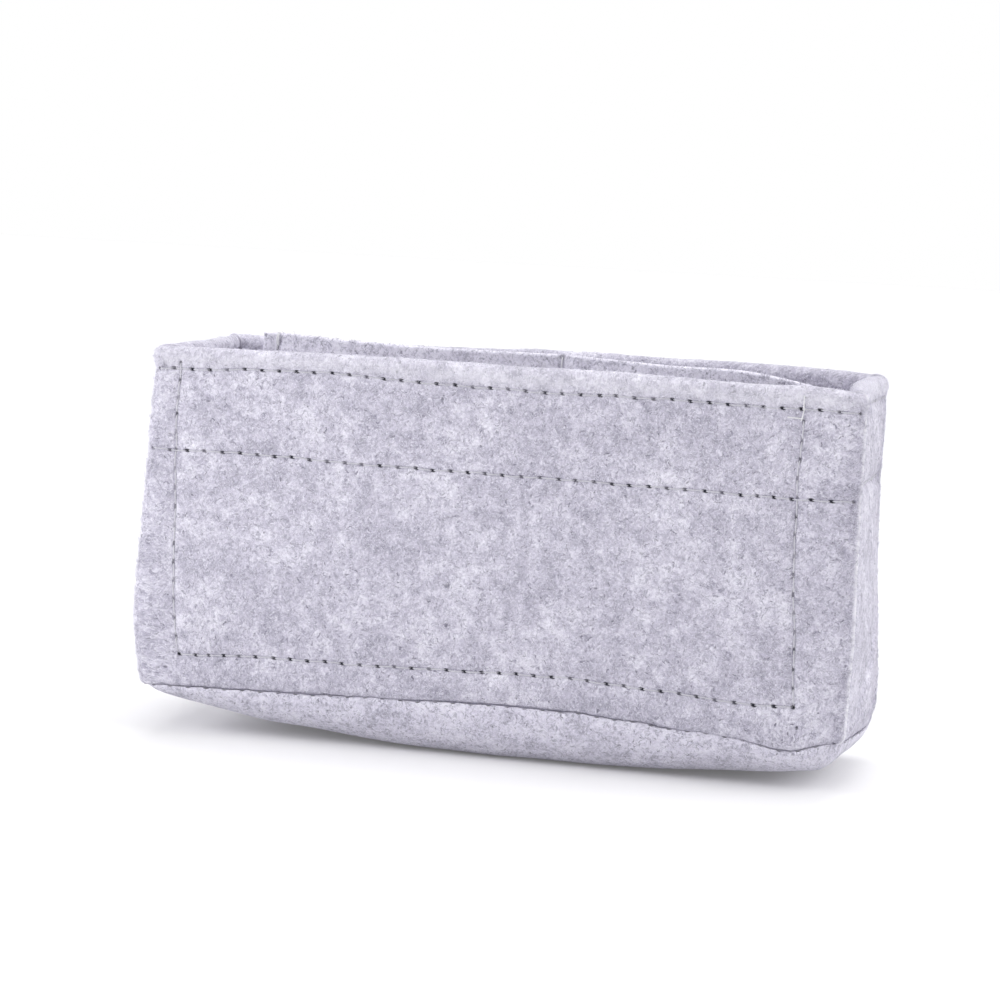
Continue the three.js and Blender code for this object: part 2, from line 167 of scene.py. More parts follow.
def soften(p):
    """The soft set of the box, as in the CAD frame, and the lean of its two ends."""
    x, y, z = p[..., 0], p[..., 1], p[..., 2]
    rise = np.clip((z - SEAM) / (HEIGHT - SEAM), 0.0, 1.0)
    across = 1 - (2 * y / DEPTH) ** 2
    along = 1 - (2 * x / LENGTH) ** 2
    bow = END_BULGE * np.sin(np.pi * rise) * (1 - rise**2) - END_PINCH * rise**2
    rear = smoothstep(y, -DEPTH / 2, REAR_FROM)
    right = RIGHT_LEAN(rise) * rear + CORNER_LEAN(rise) * (1 - rear)
    out = p.copy()
    out[..., 0] += np.sign(x) * np.abs(2 * x / LENGTH) ** END_REACH * bow * across
    out[..., 0] -= LEFT_LEAN(rise) * smoothstep(-x, LEAN_FROM, LENGTH / 2)
    out[..., 0] += right * smoothstep(x, LEAN_FROM, LENGTH / 2)
    out[..., 1] += np.sign(y) * (2 * y / DEPTH) ** 2 * WALL_BOW * np.sin(np.pi * rise) * along
    return out


# Midline of a wall's ply: up the hem inside, over the rim, down the face, under the foot
FOLD_H = HEIGHT - RIM / 2
FOLD_R = (RIM - FELT) / 2
TURN_H = SEAM + TURN
TURN_R = TURN - FELT / 2
V_FOLD = FOLD_H - HEM_EDGE
V_FACE = V_FOLD + math.pi * FOLD_R
V_TURN = V_FACE + FOLD_H - TURN_H
V_FLAP = V_TURN + math.pi / 2 * TURN_R
V_END = V_FLAP + ALLOWANCE - TURN


def face_v(z):
    return V_FACE + FOLD_H - z


def hem_v(z):
    return z - HEM_EDGE


def outer_length(v):
    """Length along the outer face, longer than the midline round the two folds."""
    extra = FELT / 2 / FOLD_R * np.clip(v - V_FOLD, 0.0, V_FACE - V_FOLD)
    return v + extra + FELT / 2 / TURN_R * np.clip(v - V_TURN, 0.0, V_FLAP - V_TURN)


def midline(v):
    """Reach into the box and height at v along the section, and the outward normal there."""
    over = np.clip((v - V_FOLD) / FOLD_R, 0.0, math.pi)
    under = math.pi + np.clip((v - V_TURN) / TURN_R, 0.0, math.pi / 2)
    u = RIM / 2 + FOLD_R * np.cos(over) + TURN_R * (1 + np.cos(under)) + np.maximum(v - V_FLAP, 0.0)
    z = HEM_EDGE + np.minimum(v, V_FOLD) + FOLD_R * np.sin(over) + TURN_R * np.sin(under)
    z = z - np.clip(v - V_FACE, 0.0, V_TURN - V_FACE)
    angle = over + under - math.pi
    return u, z, np.cos(angle), np.sin(angle)


def row_dent(t, place, pucker, groove, hole):
    """How deep a row draws in the felt, at a distance from it and a place along it in stitches."""
    near = (place - np.round(place)) * PITCH
    drawn = pucker[0] * bell(t, pucker[1]) + groove[0] * bell(t, groove[1])
    return drawn + hole[0] * bell(t, hole[1]) * bell(near, hole[2])


class Row:
    """One sewing row on a surface: straight in the felt's own measure, with its needle holes."""

    made = 0

    def __init__(self, upright, at, start, stop, pull=1.0):
        self.upright, self.at = upright, at
        self.pull = UPRIGHT_PULL if upright else pull
        self.first = ROW_STEP * Row.made
        Row.made += 1
        count = max(2, round(abs(stop - start) / PITCH))
        holes = np.linspace(start, stop, count + 1)
        holes[1:-1] += rng.normal(0.0, HOLE_SPREAD, count - 1)
        self.holes = np.sort(holes)
        self.wander = rng.normal(0.0, ROW_WANDER, count + 1)

    def measure(self, x, v):
        """Distance from the row, place along it counted in stitches, and offset to one side."""
        along, across = (v, x) if self.upright else (x, v)
        place = self.first + np.interp(along, self.holes, np.arange(len(self.holes)))
        side = across - self.at - np.interp(along, self.holes, self.wander)
        beyond = np.maximum(self.holes[0] - along, 0) + np.maximum(along - self.holes[-1], 0)
        return np.hypot(side, beyond), place, side

    def relief(self, x, v):
        t, place, _ = self.measure(x, v)
        return -self.pull * row_dent(t, place, **WALL_DENT)


class Wall:
    """A felt wall: x along it, v along its section, in the wall's own measure."""

    def __init__(self, turn, is_long, seed, rows, sag):
        self.turn, self.is_long, self.rows, self.sag = turn, is_long, rows, sag
        self.slant = pocket_slant if is_long else zero
        self.run, self.reach = (LENGTH, DEPTH / 2) if is_long else (DEPTH, LENGTH / 2)
        self.wrap = LONG_WRAP if is_long else END_WRAP
        self.x_end = self.run / 2 - ROUND + ROUND * self.wrap
        self.noise = Noise(seed)
        self.creases = []

    def relief(self, x, v):
        d = self.noise.layered(x, v, WALL_LAYERS)
        d = d + RIM_SWELL * bell(v - V_FACE + 0.2, RIM_SWELL_WIDTH)
        for form in self.rows + self.creases:
            d = d + form.relief(x, v)
        edge = self.x_end - np.abs(x)
        if self.is_long:
            d = d + CORNER_RIDGE * bell(edge - 0.8, CORNER_RIDGE_WIDTH)
        return d - CUT_DEPTH * bell(edge, CUT_WIDTH)

    def surface(self, x, v, face=1, lift=0.0):
        """Points on the outer face (1) or the inner one (-1) of the sewn wall, lifted off it."""
        x, v = np.broadcast_arrays(np.asarray(x, float), np.asarray(v, float))
        u, level, nu, nz = midline(v)
        d = FELT / 2 + lift
        if face > 0:
            d = d + self.relief(x, v)
        s = np.abs(x)
        x = x + self.slant(x, level)
        u = u + face * nu * d
        z = level + face * nz * d + self.sag(x, level)
        c = np.maximum(ROUND, u + LEAST_ROUND)
        straight = self.run / 2 - ROUND
        turned = np.clip((s - straight) / (self.x_end - straight), 0.0, 1.0)
        phi = turned * (self.wrap - np.minimum(SEAM_GAP / 2 / (c - u), self.wrap / 2))
        line = np.clip(x, -straight, straight) * (self.run / 2 - c) / straight
        plan_x = line + np.sign(x) * (c - u) * np.sin(phi)
        plan_u = c - (c - u) * np.cos(phi)
        return soften(self.place(plan_x, plan_u, z))

    def place(self, x, u, z):
        y = u - self.reach
        c, s = math.cos(self.turn), math.sin(self.turn)
        return np.stack([c * x - s * y, s * x + c * y, z], axis=-1)


def sewn_heights(rim, top, hem, foot, seam):
    """How far rows, drawn straight in the felt, ride up or down along the wall."""

    def sag(x, level):
        keys = [SEAM, FOOT_ROW, HEM_ROW, TOP_ROW, HEIGHT]
        lifts = [seam(x), foot(x), hem(x), top(x), rim(x)]
        out = 0 * x
        for i in range(len(keys) - 1):
            t = (level - keys[i]) / (keys[i + 1] - keys[i])
            inside = (level >= keys[i]) & (level < keys[i + 1])
            out = np.where(inside, lifts[i] * (1 - t) + lifts[i + 1] * t, out)
        return out

    return sag


NEAR_DRIFT = guide((0.0, -0.25), (0.28, 0.05), (0.5, 1.25), (0.62, 2.0), (1.0, 4.4))
FAR_DRIFT = guide((0.0, -0.9), (0.35, -1.7), (0.62, -1.1), (0.76, -0.5), (1.0, 0.9))
NEAR_DRIFT_WIDTH, FAR_DRIFT_WIDTH, CORNER_REST = 14.0, 12.0, 6.0


def pocket_slant(x, level):
    """Side rows of a pocket lean a little: the felt goes with them, but not at the corners."""
    share = np.clip((HEIGHT - level) / (HEIGHT - FOOT_ROW), 0, 1)
    near = NEAR_DRIFT(share) * bell(x - NEAR_X, NEAR_DRIFT_WIDTH)
    far = FAR_DRIFT(share) * bell(x - FAR_X, FAR_DRIFT_WIDTH)
    return (near + far) * smoothstep(LENGTH / 2 - np.abs(x), 0, CORNER_REST)


def hem_rows(run):
    out = run / 2 - ROW_INSET
    inside = run / 2 - TURNED_EDGE
    hem_pull = 1.0 if run == LENGTH else END_HEM_PULL
    return {
        "topstitch_needle": Row(False, face_v(TOP_ROW), -out, out),
        "hem_stitch_needle": Row(False, face_v(HEM_ROW), -out, out, hem_pull),
        "topstitch_bobbin": Row(False, hem_v(TOP_ROW), -inside, inside),
        "hem_stitch_bobbin": Row(False, hem_v(HEM_ROW), -inside, inside),
    }


def pocket_rows(near_drop, far_drop):
    foot = face_v(FOOT_ROW)
    return {
        "near": Row(True, NEAR_X, face_v(HEIGHT - near_drop), foot),
        "foot": Row(False, foot, NEAR_X, FAR_X),
        "far": Row(True, FAR_X, face_v(HEIGHT - far_drop), foot),
    }


# Lie of the front's rim, rows and seam, read off the photograph: lift above the straight line
front_rim = guide((-98, -0.5), (-84, -0.4), (-40, 0.0), (30, 0.0), (70, -0.4), (91, -0.5), (98, -1.5))
front_top = guide((-96, -0.9), (-68, 0.4), (-48, 0.9), (-28, 0.3), (0, -0.3), (40, -0.2), (96, -0.4))
front_hem = guide((-96, 0.2), (-70, 0.5), (-38, 0.0), (10, 0.0), (60, -0.5), (80, -0.8), (96, -0.4))
front_foot = guide(
    (-90, -1.8), (-65, -0.3), (-38, 0.2), (-10, 1.0), (25, 1.7), (46, 0.8), (77, -0.8), (90, -0.5)
)
seam_line = guide(
    (-98, -1.5), (-90, -1.6), (-78, -1.2), (-64, -0.8), (-50, -0.4), (-36, 0.25), (-22, 0.8), (0, 1.4),
    (19, 1.6), (43, 0.4), (52, -0.3), (62, -0.7), (71, -1.6), (80, -3.3), (87, -3.5), (91.5, -2.2),
    (97, -0.2),
)
uneven = Noise(23)


def front_seam(x):
    """The bottom seam's height wavers a little from stitch to stitch."""
    return seam_line(x) + 0.2 * uneven(x, 0 * x, 4.3) + 0.12 * uneven(x, 0 * x + 40, 1.9)


# The back wall's own x runs the other way: its right end, seen from the front, comes first
back_rim = guide((-97, 0.0), (-90, 0.6), (-70, 1.0), (-40, 1.7), (-10, 1.6), (15, 1.1), (40, 0.4), (97, 0.1))
back_top = guide((-96, 0.5), (-30, 1.1), (30, 0.3), (96, 0.2))
back_hem = guide((-96, 0.3), (-20, -0.3), (50, 0.2), (96, -0.2))
back_foot = guide((-90, -0.8), (-30, 0.9), (20, 1.3), (90, -0.4))
back_seam = guide((-97, -2.8), (-80, -1.6), (-50, 0.7), (0, 1.5), (50, 0.5), (97, -0.8))
end_top = guide((-30, 0.2), (0, -0.1), (30, 0.3))
left_rim = guide((-33, 0.0), (0, -0.6), (33, -0.5))
left_hem = guide((-33, -0.8), (0, 0.7), (33, 2.6))
left_seam = guide((-32, -0.6), (0, 0.3), (32, -1.4))
right_rim = guide((-33, -1.0), (-27, -0.5), (-20, 0.3), (0, -0.1), (33, -0.2))
right_hem = guide((-33, 3.4), (0, 2.4), (33, 1.4))
right_seam = guide((-33, -0.3), (0, -2.0), (33, -2.8))

ROW_RUNS = {"front": LENGTH, "back": LENGTH, "left_end": DEPTH, "right_end": DEPTH}
ROWS = {side: hem_rows(run) for side, run in ROW_RUNS.items()}
U_ROWS = {"front": pocket_rows(4.0, 8.8), "back": pocket_rows(4.0, 4.0)}
DIVIDER = Row(True, MID_X, face_v(DIVIDER_HIGH), face_v(DIVIDER_LOW))

# Each wall's name, turn about the upright axis, noise seed, and lie of its rim, rows and seam
WALLS = {}
for key, turn, seed, lifts in (
    ("front", 0.0, 3, (front_rim, front_top, front_hem, front_foot, front_seam)),
    ("back", math.pi, 5, (back_rim, back_top, back_hem, back_foot, back_seam)),
    ("left_end", -math.pi / 2, 7, (left_rim, end_top, left_hem, zero, left_seam)),
    ("right_end", math.pi / 2, 9, (right_rim, end_top, right_hem, zero, right_seam)),
):
    rows = [*ROWS[key].values(), *U_ROWS.get(key, {}).values()]
    WALLS[key] = Wall(turn, key in U_ROWS, seed, rows, sewn_heights(*lifts))
WALLS["back"].rows.append(DIVIDER)


class Crease:
    """A soft valley along a line on a wall's face, fading at its ends."""

    def __init__(self, x0, z0, x1, z1, depth, width):
        self.start = np.array([x0, face_v(z0)])
        self.line = np.array([x1, face_v(z1)]) - self.start
        self.depth, self.width = depth, width

    def stations(self):
        low, high = sorted((self.start[1], self.start[1] + self.line[1]))
        return np.arange(low - 2 * self.width, high + 2 * self.width, self.width / 2)

    def relief(self, x, v):
        length = math.hypot(*self.line)
        ax, av = self.line / length
        dx, dv = x - self.start[0], v - self.start[1]
        along = (dx * ax + dv * av) / length
        across = (dx * av - dv * ax) / self.width
        fade = smoothstep(along, -0.3, 0.3) * smoothstep(-along, -1.3, -0.7)
        return -self.depth * fade * (bell(across, 1.0) - 0.6 * bell(across + 1.6, 1.0))


WALLS["front"].creases += [
    Crease(-86.0, HEIGHT - 11.5, -77.0, HEIGHT - 19.0, 0.7, 0.9),
    Crease(62.0, HEIGHT - 14.0, 79.0, HEIGHT - 10.0, 0.25, 2.0),
    Crease(-94.0, SEAM + 16.0, -88.0, SEAM + 22.0, 0.3, 1.6),
]
WALLS["right_end"].creases += [Crease(-16.0, SEAM + 8.0, 8.0, SEAM + 30.0, 0.9, 2.4)]
# Two single needle holes below the front pocket's row
for x, z in ((-95.0, SEAM + 5.5), (86.0, SEAM + 5.2)):
    stray = Row(True, x, face_v(z) - 0.02, face_v(z) + 0.02)
    stray.holes = stray.holes[:1]
    stray.wander = stray.wander[:1] * 0.0
    WALLS["front"].rows.append(stray)


def row_measures(rows, measure, x, v):
    """Nearest level and upright rows: place along in stitches, distance from it, offset to one side."""
    out = {}
    for key, upright in (("level", False), ("upright", True)):
        place, across, offset = 0 * x, 0 * x + FAR_OFF, 0 * x
        for row in (r for r in rows if r.upright == upright):
            t, s, side = measure(row, x, v)
            nearer = t < across
            place = np.where(nearer, s, place)
            across = np.where(nearer, t, across)
            offset = np.where(nearer, side, offset)
        out |= {key + "_s": place, key + "_t": across, key + "_n": offset}
    return out


SHEET_STEP = 400.0
TURNED_SHEET, POCKET_SHEET, BOTTOM_SHEET = 4, 5, 8


def felt_measure(x, y, sheet):
    """Place on the flat felt before sewing, a separate stretch of it for each sheet."""
    return {"felt_u": x + 0.0, "felt_v": y + SHEET_STEP * sheet}


# Meshes


def link_object(name, data):
    obj = bpy.data.objects.new(name, data)
    bpy.context.scene.collection.objects.link(obj)
    return obj


def face_outwards(mesh):
    """Turns all faces so that their front is outside."""
    work = bmesh.new()
    work.from_mesh(mesh)
    bmesh.ops.recalc_face_normals(work, faces=work.faces)
    work.to_mesh(mesh)
    work.free()


class MeshMaker:
    """Gathers points, faces and per-point values into one mesh object."""

    def __init__(self):
        self.points, self.faces, self.values, self.count = [], [], {}, 0

    def add(self, points, values=None):
        """Takes in points with their values, and gives their numbers in the mesh."""
        base = self.count
        self.points.append(points.reshape(-1, 3))
        self.count += len(self.points[-1])
        for key, value in (values or {}).items():
            self.values.setdefault(key, []).append((base, value.reshape(-1)))
        return np.arange(base, self.count).reshape(points.shape[:-1])

    def grid(self, points, values=None, flip=False, closed=False):
        index = self.add(points, values)
        if closed:
            index = np.concatenate([index, index[:, :1]], axis=1)
        a, b, c, d = index[:-1, :-1], index[1:, :-1], index[1:, 1:], index[:-1, 1:]
        quads = np.stack([a, d, c, b] if flip else [a, b, c, d], axis=-1).reshape(-1, 4)
        self.faces.extend(quads.tolist())
        return index

    def bridge(self, fine, coarse, step=1):
        """Closes the edge between a fine border and one that has every step-th of its points."""
        for k in range(len(coarse) - 1):
            run = [int(i) for i in fine[k * step : (k + 1) * step + 1]]
            self.faces.append(run + [int(coarse[k + 1]), int(coarse[k])])

    def close(self, fine, coarse, step_x=1, step_v=1):
        """Closes the four borders between the two faces of a sheet."""
        self.bridge(fine[0], coarse[0], step_x)
        self.bridge(fine[-1], coarse[-1], step_x)
        self.bridge(fine[:, 0], coarse[:, 0], step_v)
        self.bridge(fine[:, -1], coarse[:, -1], step_v)

    def finish(self, name, material, angle=50.0):
        """The mesh object, with sharp edges where faces meet at more than the angle in degrees."""
        mesh = bpy.data.meshes.new(name)
        points = np.concatenate(self.points) * MM
        mesh.from_pydata(points.tolist(), [], self.faces)
        for key, parts in self.values.items():
            whole = np.full(self.count, FAR_OFF if key.endswith("_t") else 0.0)
            for base, value in parts:
                whole[base : base + len(value)] = value
            layer = mesh.attributes.new(key, "FLOAT", "POINT")
            layer.data.foreach_set("value", whole.astype(np.float32))
        mesh.validate()
        obj = link_object(name, mesh)
        face_outwards(mesh)
        mesh.shade_smooth()
        mesh.set_sharp_from_angle(angle=math.radians(angle))
        mesh.materials.append(material)
        return obj


ROW_OFFSETS = [-3.0, -1.9, -1.2, -0.8, -0.5, -0.25, 0.0, 0.25, 0.5, 0.8, 1.2, 1.9, 3.0]


def thinned(stations, least):
    return stations[np.concatenate([[True], np.diff(stations) > least])]


def spaced(low, high, pitch, fine):
    """Stations from low to high at a pitch, closer by the given places."""
    stations = [low, high]
    for f in fine:
        stations += [f + o for o in ROW_OFFSETS if low < f + o < high]
    stations = sorted(stations)
    out = [stations[0]]
    for a, b in zip(stations, stations[1:]):
        steps = max(1, math.ceil((b - a) / pitch - 1e-6))
        out += [a + (b - a) * (k + 1) / steps for k in range(steps)]
    return thinned(np.array(out), 0.05)


def in_steps(stations, step):
    """Drops the fewest inner stations so that every step-th one ends on the last."""
    extra = (len(stations) - 1) % step
    drop = np.linspace(1, len(stations) - 2, extra + 2).astype(int)[1:-1]
    return np.delete(stations, drop)


# Materials


class Tree:
    """Short hand for building a node tree."""

    def __init__(self, tree):
        self.tree = tree
        tree.nodes.clear()

    def add(self, kind, **values):
        """Outputs of a new node. Settings have small names, inputs capital ones or numbers: i0, i1."""
        node = self.tree.nodes.new("ShaderNode" + kind)
        for key, value in values.items():
            numbered = key[0] == "i" and key[1:].isdigit()
            if key[0].islower() and not numbered:
                setattr(node, key, value)
                continue
            socket = node.inputs[int(key[1:]) if numbered else key.replace("_", " ")]
            if isinstance(value, bpy.types.NodeSocket):
                self.tree.links.new(value, socket)
            else:
                socket.default_value = value
        return node.outputs

    def math(self, operation, *values, kind="Math"):
        inputs = {f"i{k}": value for k, value in enumerate(values)}
        return self.add(kind, operation=operation, **inputs)[0]

    def times(self, first, *others):
        for other in others:
            first = self.math("MULTIPLY", first, other)
        return first

    def dot(self, a, b):
        return self.add("VectorMath", operation="DOT_PRODUCT", i0=a, i1=b)["Value"]

    def plane(self, x, y):
        return self.add("CombineXYZ", X=x, Y=y, Z=0.0)[0]

    def attribute(self, name):
        return self.add("Attribute", attribute_name=name)["Fac"]

    def chance(self, count):
        """A random number from 0 to 1 for each count."""
        return self.add("TexWhiteNoise", noise_dimensions="1D", W=count)["Value"]

    def noise(self, place, scale, detail=2.0, roughness=0.5, dimensions="2D", output="Fac", shift=(0, 0, 0)):
        place = self.math("ADD", place, shift, kind="VectorMath")
        inputs = {"Vector": place, "Scale": scale, "Detail": detail, "Roughness": roughness}
        return self.add("TexNoise", noise_dimensions=dimensions, **inputs)[output]

    def span(self, value, low, high, to_low=0.0, to_high=1.0):
        inputs = {"Value": value, "From Min": low, "From Max": high, "To Min": to_low, "To Max": to_high}
        return self.add("MapRange", interpolation_type="SMOOTHSTEP", **inputs)["Result"]

    def mix(self, factor, a, b):
        return self.add("Mix", data_type="RGBA", Factor=factor, i6=a, i7=b)[2]

    def bump(self, strength, distance, height):
        return self.add("Bump", Strength=strength, Distance=distance, Height=height)[0]


def new_material(name, shader, *values):
    """A material with the surface that the shader function builds in its tree."""
    material = bpy.data.materials.new(name)
    material.use_nodes = True
    t = Tree(material.node_tree)
    t.add("OutputMaterial", Surface=shader(t, *values)[0])
    return material


FELT_COLOUR = (0.55, 0.525, 0.635, 1.0)
# Painted light: the bottom panel is written paler than the walls' felt to lift the shade under it
BOTTOM_PAINTED_LIGHT_COLOUR = (0.72, 0.692, 0.815, 1.0)
# Painted light: the pocket panels are written paler than the walls' felt to lift the shade inside the box
POCKET_PAINTED_LIGHT_COLOUR = (0.82, 0.795, 0.915, 1.0)
FELT_DARK = (0.30, 0.29, 0.37, 1.0)
FELT_FLECK = (0.13, 0.125, 0.17, 1.0)
FELT_LIGHT = (0.89, 0.875, 0.965, 1.0)
# Painted shade in the needle holes
HOLE_SHADE_COLOUR = (0.03, 0.03, 0.045, 1.0)
# Painted highlight along the long walls' upright corners and the rims
EDGE_HIGHLIGHT_COLOUR = (0.88, 0.87, 0.93, 1.0)
# Painted shadow line beside the thread
THREAD_SHADOW_COLOUR = (0.2, 0.19, 0.26, 1.0)
THREAD_GREY = (0.56, 0.55, 0.63)
THREAD_WHITE = (0.92, 0.92, 0.95)
# Length, width, darkness and tilt of a needle hole's painted shade, and how far the painted shadow line
# beside the thread shows
LEVEL_MARKS = (0.9, 0.52, 1.0, -0.5, 0.9)
UPRIGHT_MARKS = (1.35, 0.4, 0.72, 0.0, 0.8)


def fibres(t, flat, turns, along, across, low, high, seed):
    """Short strokes lying in a few directions: a stretched noise cut near its peaks."""
    strokes = 0.0
    for k, degrees in enumerate(turns):
        c, s = math.cos(math.radians(degrees)), math.sin(math.radians(degrees))
        a = t.dot(flat, (c / along, s / along, 0.0))
        b = t.dot(flat, (-s / across, c / across, 0.0))
        stroke = t.noise(t.plane(a, b), 1.0, 1.0, shift=(17.3 * k + seed, 5.1 * seed, 0.0))
        strokes = t.math("MAXIMUM", strokes, t.span(stroke, low, high))
    return strokes


def row_shade_marks(t, colour, grain, key, marks):
    """Painted shade in the needle holes, and a painted shadow line along the felt pressed in beside the
    thread.
    """
    length, width, darkness, tilt, shown = marks
    place, across, side = t.attribute(key + "_s"), t.attribute(key + "_t"), t.attribute(key + "_n")
    hole_count = t.math("ROUND", place)
    off = t.times(t.math("SUBTRACT", place, hole_count), PITCH)
    along = t.math("DIVIDE", t.math("MULTIPLY_ADD", side, tilt, off), length)
    wide = t.math("DIVIDE", across, width)
    hole = t.math("ADD", t.math("POWER", along, 2.0), t.math("POWER", wide, 2.0))
    open_share = t.span(t.chance(hole_count), 0.0, 0.6, 0.6, 1.0)
    hole = t.times(t.span(hole, 0.35, 1.35, darkness, 0.0), open_share)
    stitch_count = t.math("ADD", t.math("FLOOR", place), 0.5)
    line = t.times(
        t.span(across, 0.14, 0.3),
        t.span(across, 0.34, 0.62, 1.0, 0.0),
        t.span(t.math("FRACT", place), 0.1, 0.9, 1.0, 0.3),
        t.span(side, -0.2, 0.2, 1.0, 0.35),
        t.span(grain, 0.4, 0.6, 0.25 * shown, shown),
        t.span(t.chance(stitch_count), 0.1, 0.9, 0.15, 1.0),
    )
    return t.mix(hole, t.mix(line, colour, THREAD_SHADOW_COLOUR), HOLE_SHADE_COLOUR)


def felt_shader(t, base):
    mm = t.plane(t.attribute("felt_u"), t.attribute("felt_v"))
    swirl = t.noise(mm, 0.42, output="Color")
    swirl = t.math("MULTIPLY_ADD", swirl, (2.6, 2.6, 0.0), mm, kind="VectorMath")
    cloud = t.noise(mm, 0.05, 2.0, 0.55)
    patch = t.noise(mm, 0.2, 3.0, 0.6, shift=(40, 9, 0))
    mottle = t.noise(swirl, 0.42, 2.0, 0.6, shift=(90, 33, 0))
    grain = t.noise(mm, 1.1, 2.0, 0.6, shift=(3, 70, 0))
    speck = t.noise(mm, 2.3, 1.0, 0.5, shift=(8, 21, 0))
    fleck = t.noise(swirl, 1.05, 1.0, 0.5, shift=(51, 13, 0))
    pale = fibres(t, swirl, (15, 75, 135), 1.6, 0.42, 0.54, 0.8, 3.0)
    dark = fibres(t, swirl, (45, 105, 165), 1.3, 0.45, 0.54, 0.76, 11.0)
    dark = t.times(dark, t.span(mottle, 0.36, 0.64, 1.0, 0.3))
    black = t.times(t.span(fleck, 0.2, 0.36, 0.75, 0.0), t.span(mottle, 0.36, 0.6, 1.0, 0.3))
    tone = 0.0
    for layer, depth in ((cloud, 0.27), (patch, 0.36), (mottle, 0.1), (grain, 0.3)):
        tone = t.math("ADD", tone, t.span(layer, 0.25, 0.75, -depth, depth))
    colour = t.mix(t.math("MAXIMUM", tone, 0.0), base, FELT_LIGHT)
    colour = t.mix(t.math("MAXIMUM", t.times(tone, -1.0), 0.0), colour, FELT_DARK)
    colour = t.mix(t.times(pale, 0.47), colour, FELT_LIGHT)
    colour = t.mix(t.times(dark, 0.74), colour, FELT_DARK)
    colour = t.mix(t.span(speck, 0.64, 0.78, 0.0, 0.7), colour, FELT_LIGHT)
    colour = t.mix(black, colour, FELT_FLECK)
    # Painted highlight: a paler band where light catches the long walls' upright corners, and at part
    # strength along the rims
    edge = t.attribute("edge_t")
    edge_highlight = t.times(t.span(edge, 0.1, 0.5), t.span(edge, 0.9, 1.9, 1.0, 0.0))
    colour = t.mix(t.times(edge_highlight, t.span(patch, 0.3, 0.6, 0.7, 1.0)), colour, EDGE_HIGHLIGHT_COLOUR)
    colour = row_shade_marks(t, colour, grain, "level", LEVEL_MARKS)
    colour = row_shade_marks(t, colour, grain, "upright", UPRIGHT_MARKS)
    height = t.math("ADD", t.times(pale, 0.5), t.times(dark, -0.4))
    height = t.math("ADD", height, t.times(grain, 0.5))
    return t.add(
        "BsdfPrincipled", Base_Color=colour, Roughness=0.95, Normal=t.bump(0.6, 0.0003, height),
        Specular_IOR_Level=0.1, Sheen_Weight=0.25, Sheen_Roughness=0.6,
    )


def thread_shader(t, pale_share):
    mm = t.add("VectorMath", operation="SCALE", i0=t.add("TexCoord")["Object"], Scale=1 / MM)[0]
    twist = t.add("TexWave", bands_direction="DIAGONAL", Vector=mm, Scale=1.9, Distortion=1.2)["Fac"]
    fuzz = t.noise(mm, 4.0, 2.0, 0.6, "3D")
    base = [a * (1 - pale_share) + b * pale_share for a, b in zip(THREAD_GREY, THREAD_WHITE)]
    # The darker twist bands are painted shade between the thread's plies
    shade = [0.76 * v for v in base]
    colour = t.mix(t.span(twist, 0.1, 0.8), (*shade, 1.0), (*base, 1.0))
    colour = t.mix(t.times(t.span(fuzz, 0.5, 0.75), 0.4), colour, FELT_LIGHT)
    return t.add(
        "BsdfPrincipled", Base_Color=colour, Roughness=0.6, Normal=t.bump(0.5, 0.0001, twist),
        Specular_IOR_Level=0.3, Sheen_Weight=0.2,
    )


def fibre_shader(t):
    tone = t.attribute("fibre_tone")
    streak = t.noise(t.add("TexCoord")["Object"], 900.0, 2.0, 0.5, "3D")
    colour = t.mix(t.span(tone, 0.1, 0.45), FELT_DARK, FELT_COLOUR)
    colour = t.mix(t.span(tone, 0.4, 0.9), colour, FELT_LIGHT)
    colour = t.mix(t.span(streak, 0.45, 0.7, 0.0, 0.3), colour, FELT_LIGHT)
    return t.add("BsdfPrincipled", Base_Color=colour, Roughness=0.9, Specular_IOR_Level=0.1)


FELT_SEWN = new_material("felt_sewn", felt_shader, FELT_COLOUR)
FELT_BOTTOM_PAINTED_LIGHT = new_material("felt_bottom_painted_light", felt_shader, BOTTOM_PAINTED_LIGHT_COLOUR)
FELT_POCKET_PAINTED_LIGHT = new_material("felt_pocket_painted_light", felt_shader, POCKET_PAINTED_LIGHT_COLOUR)
NEEDLE_THREAD = new_material("needle_thread", thread_shader, 0.3)
BOBBIN_THREAD = new_material("bobbin_thread", thread_shader, 0.9)
FIBRE = new_material("felt_fibre", fibre_shader)


# Felt walls

COARSE_V, COARSE_X = 2, 3
PITCH_V, PITCH_X = 1.7, 0.66
# Where the rim's painted highlight lies and how far it reaches
RIM_HIGHLIGHT, RIM_REACH = 1.42, 9.0


def place_piece(obj, slot, *nodes):
    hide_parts(*nodes)
    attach(obj, "root")
    return obj


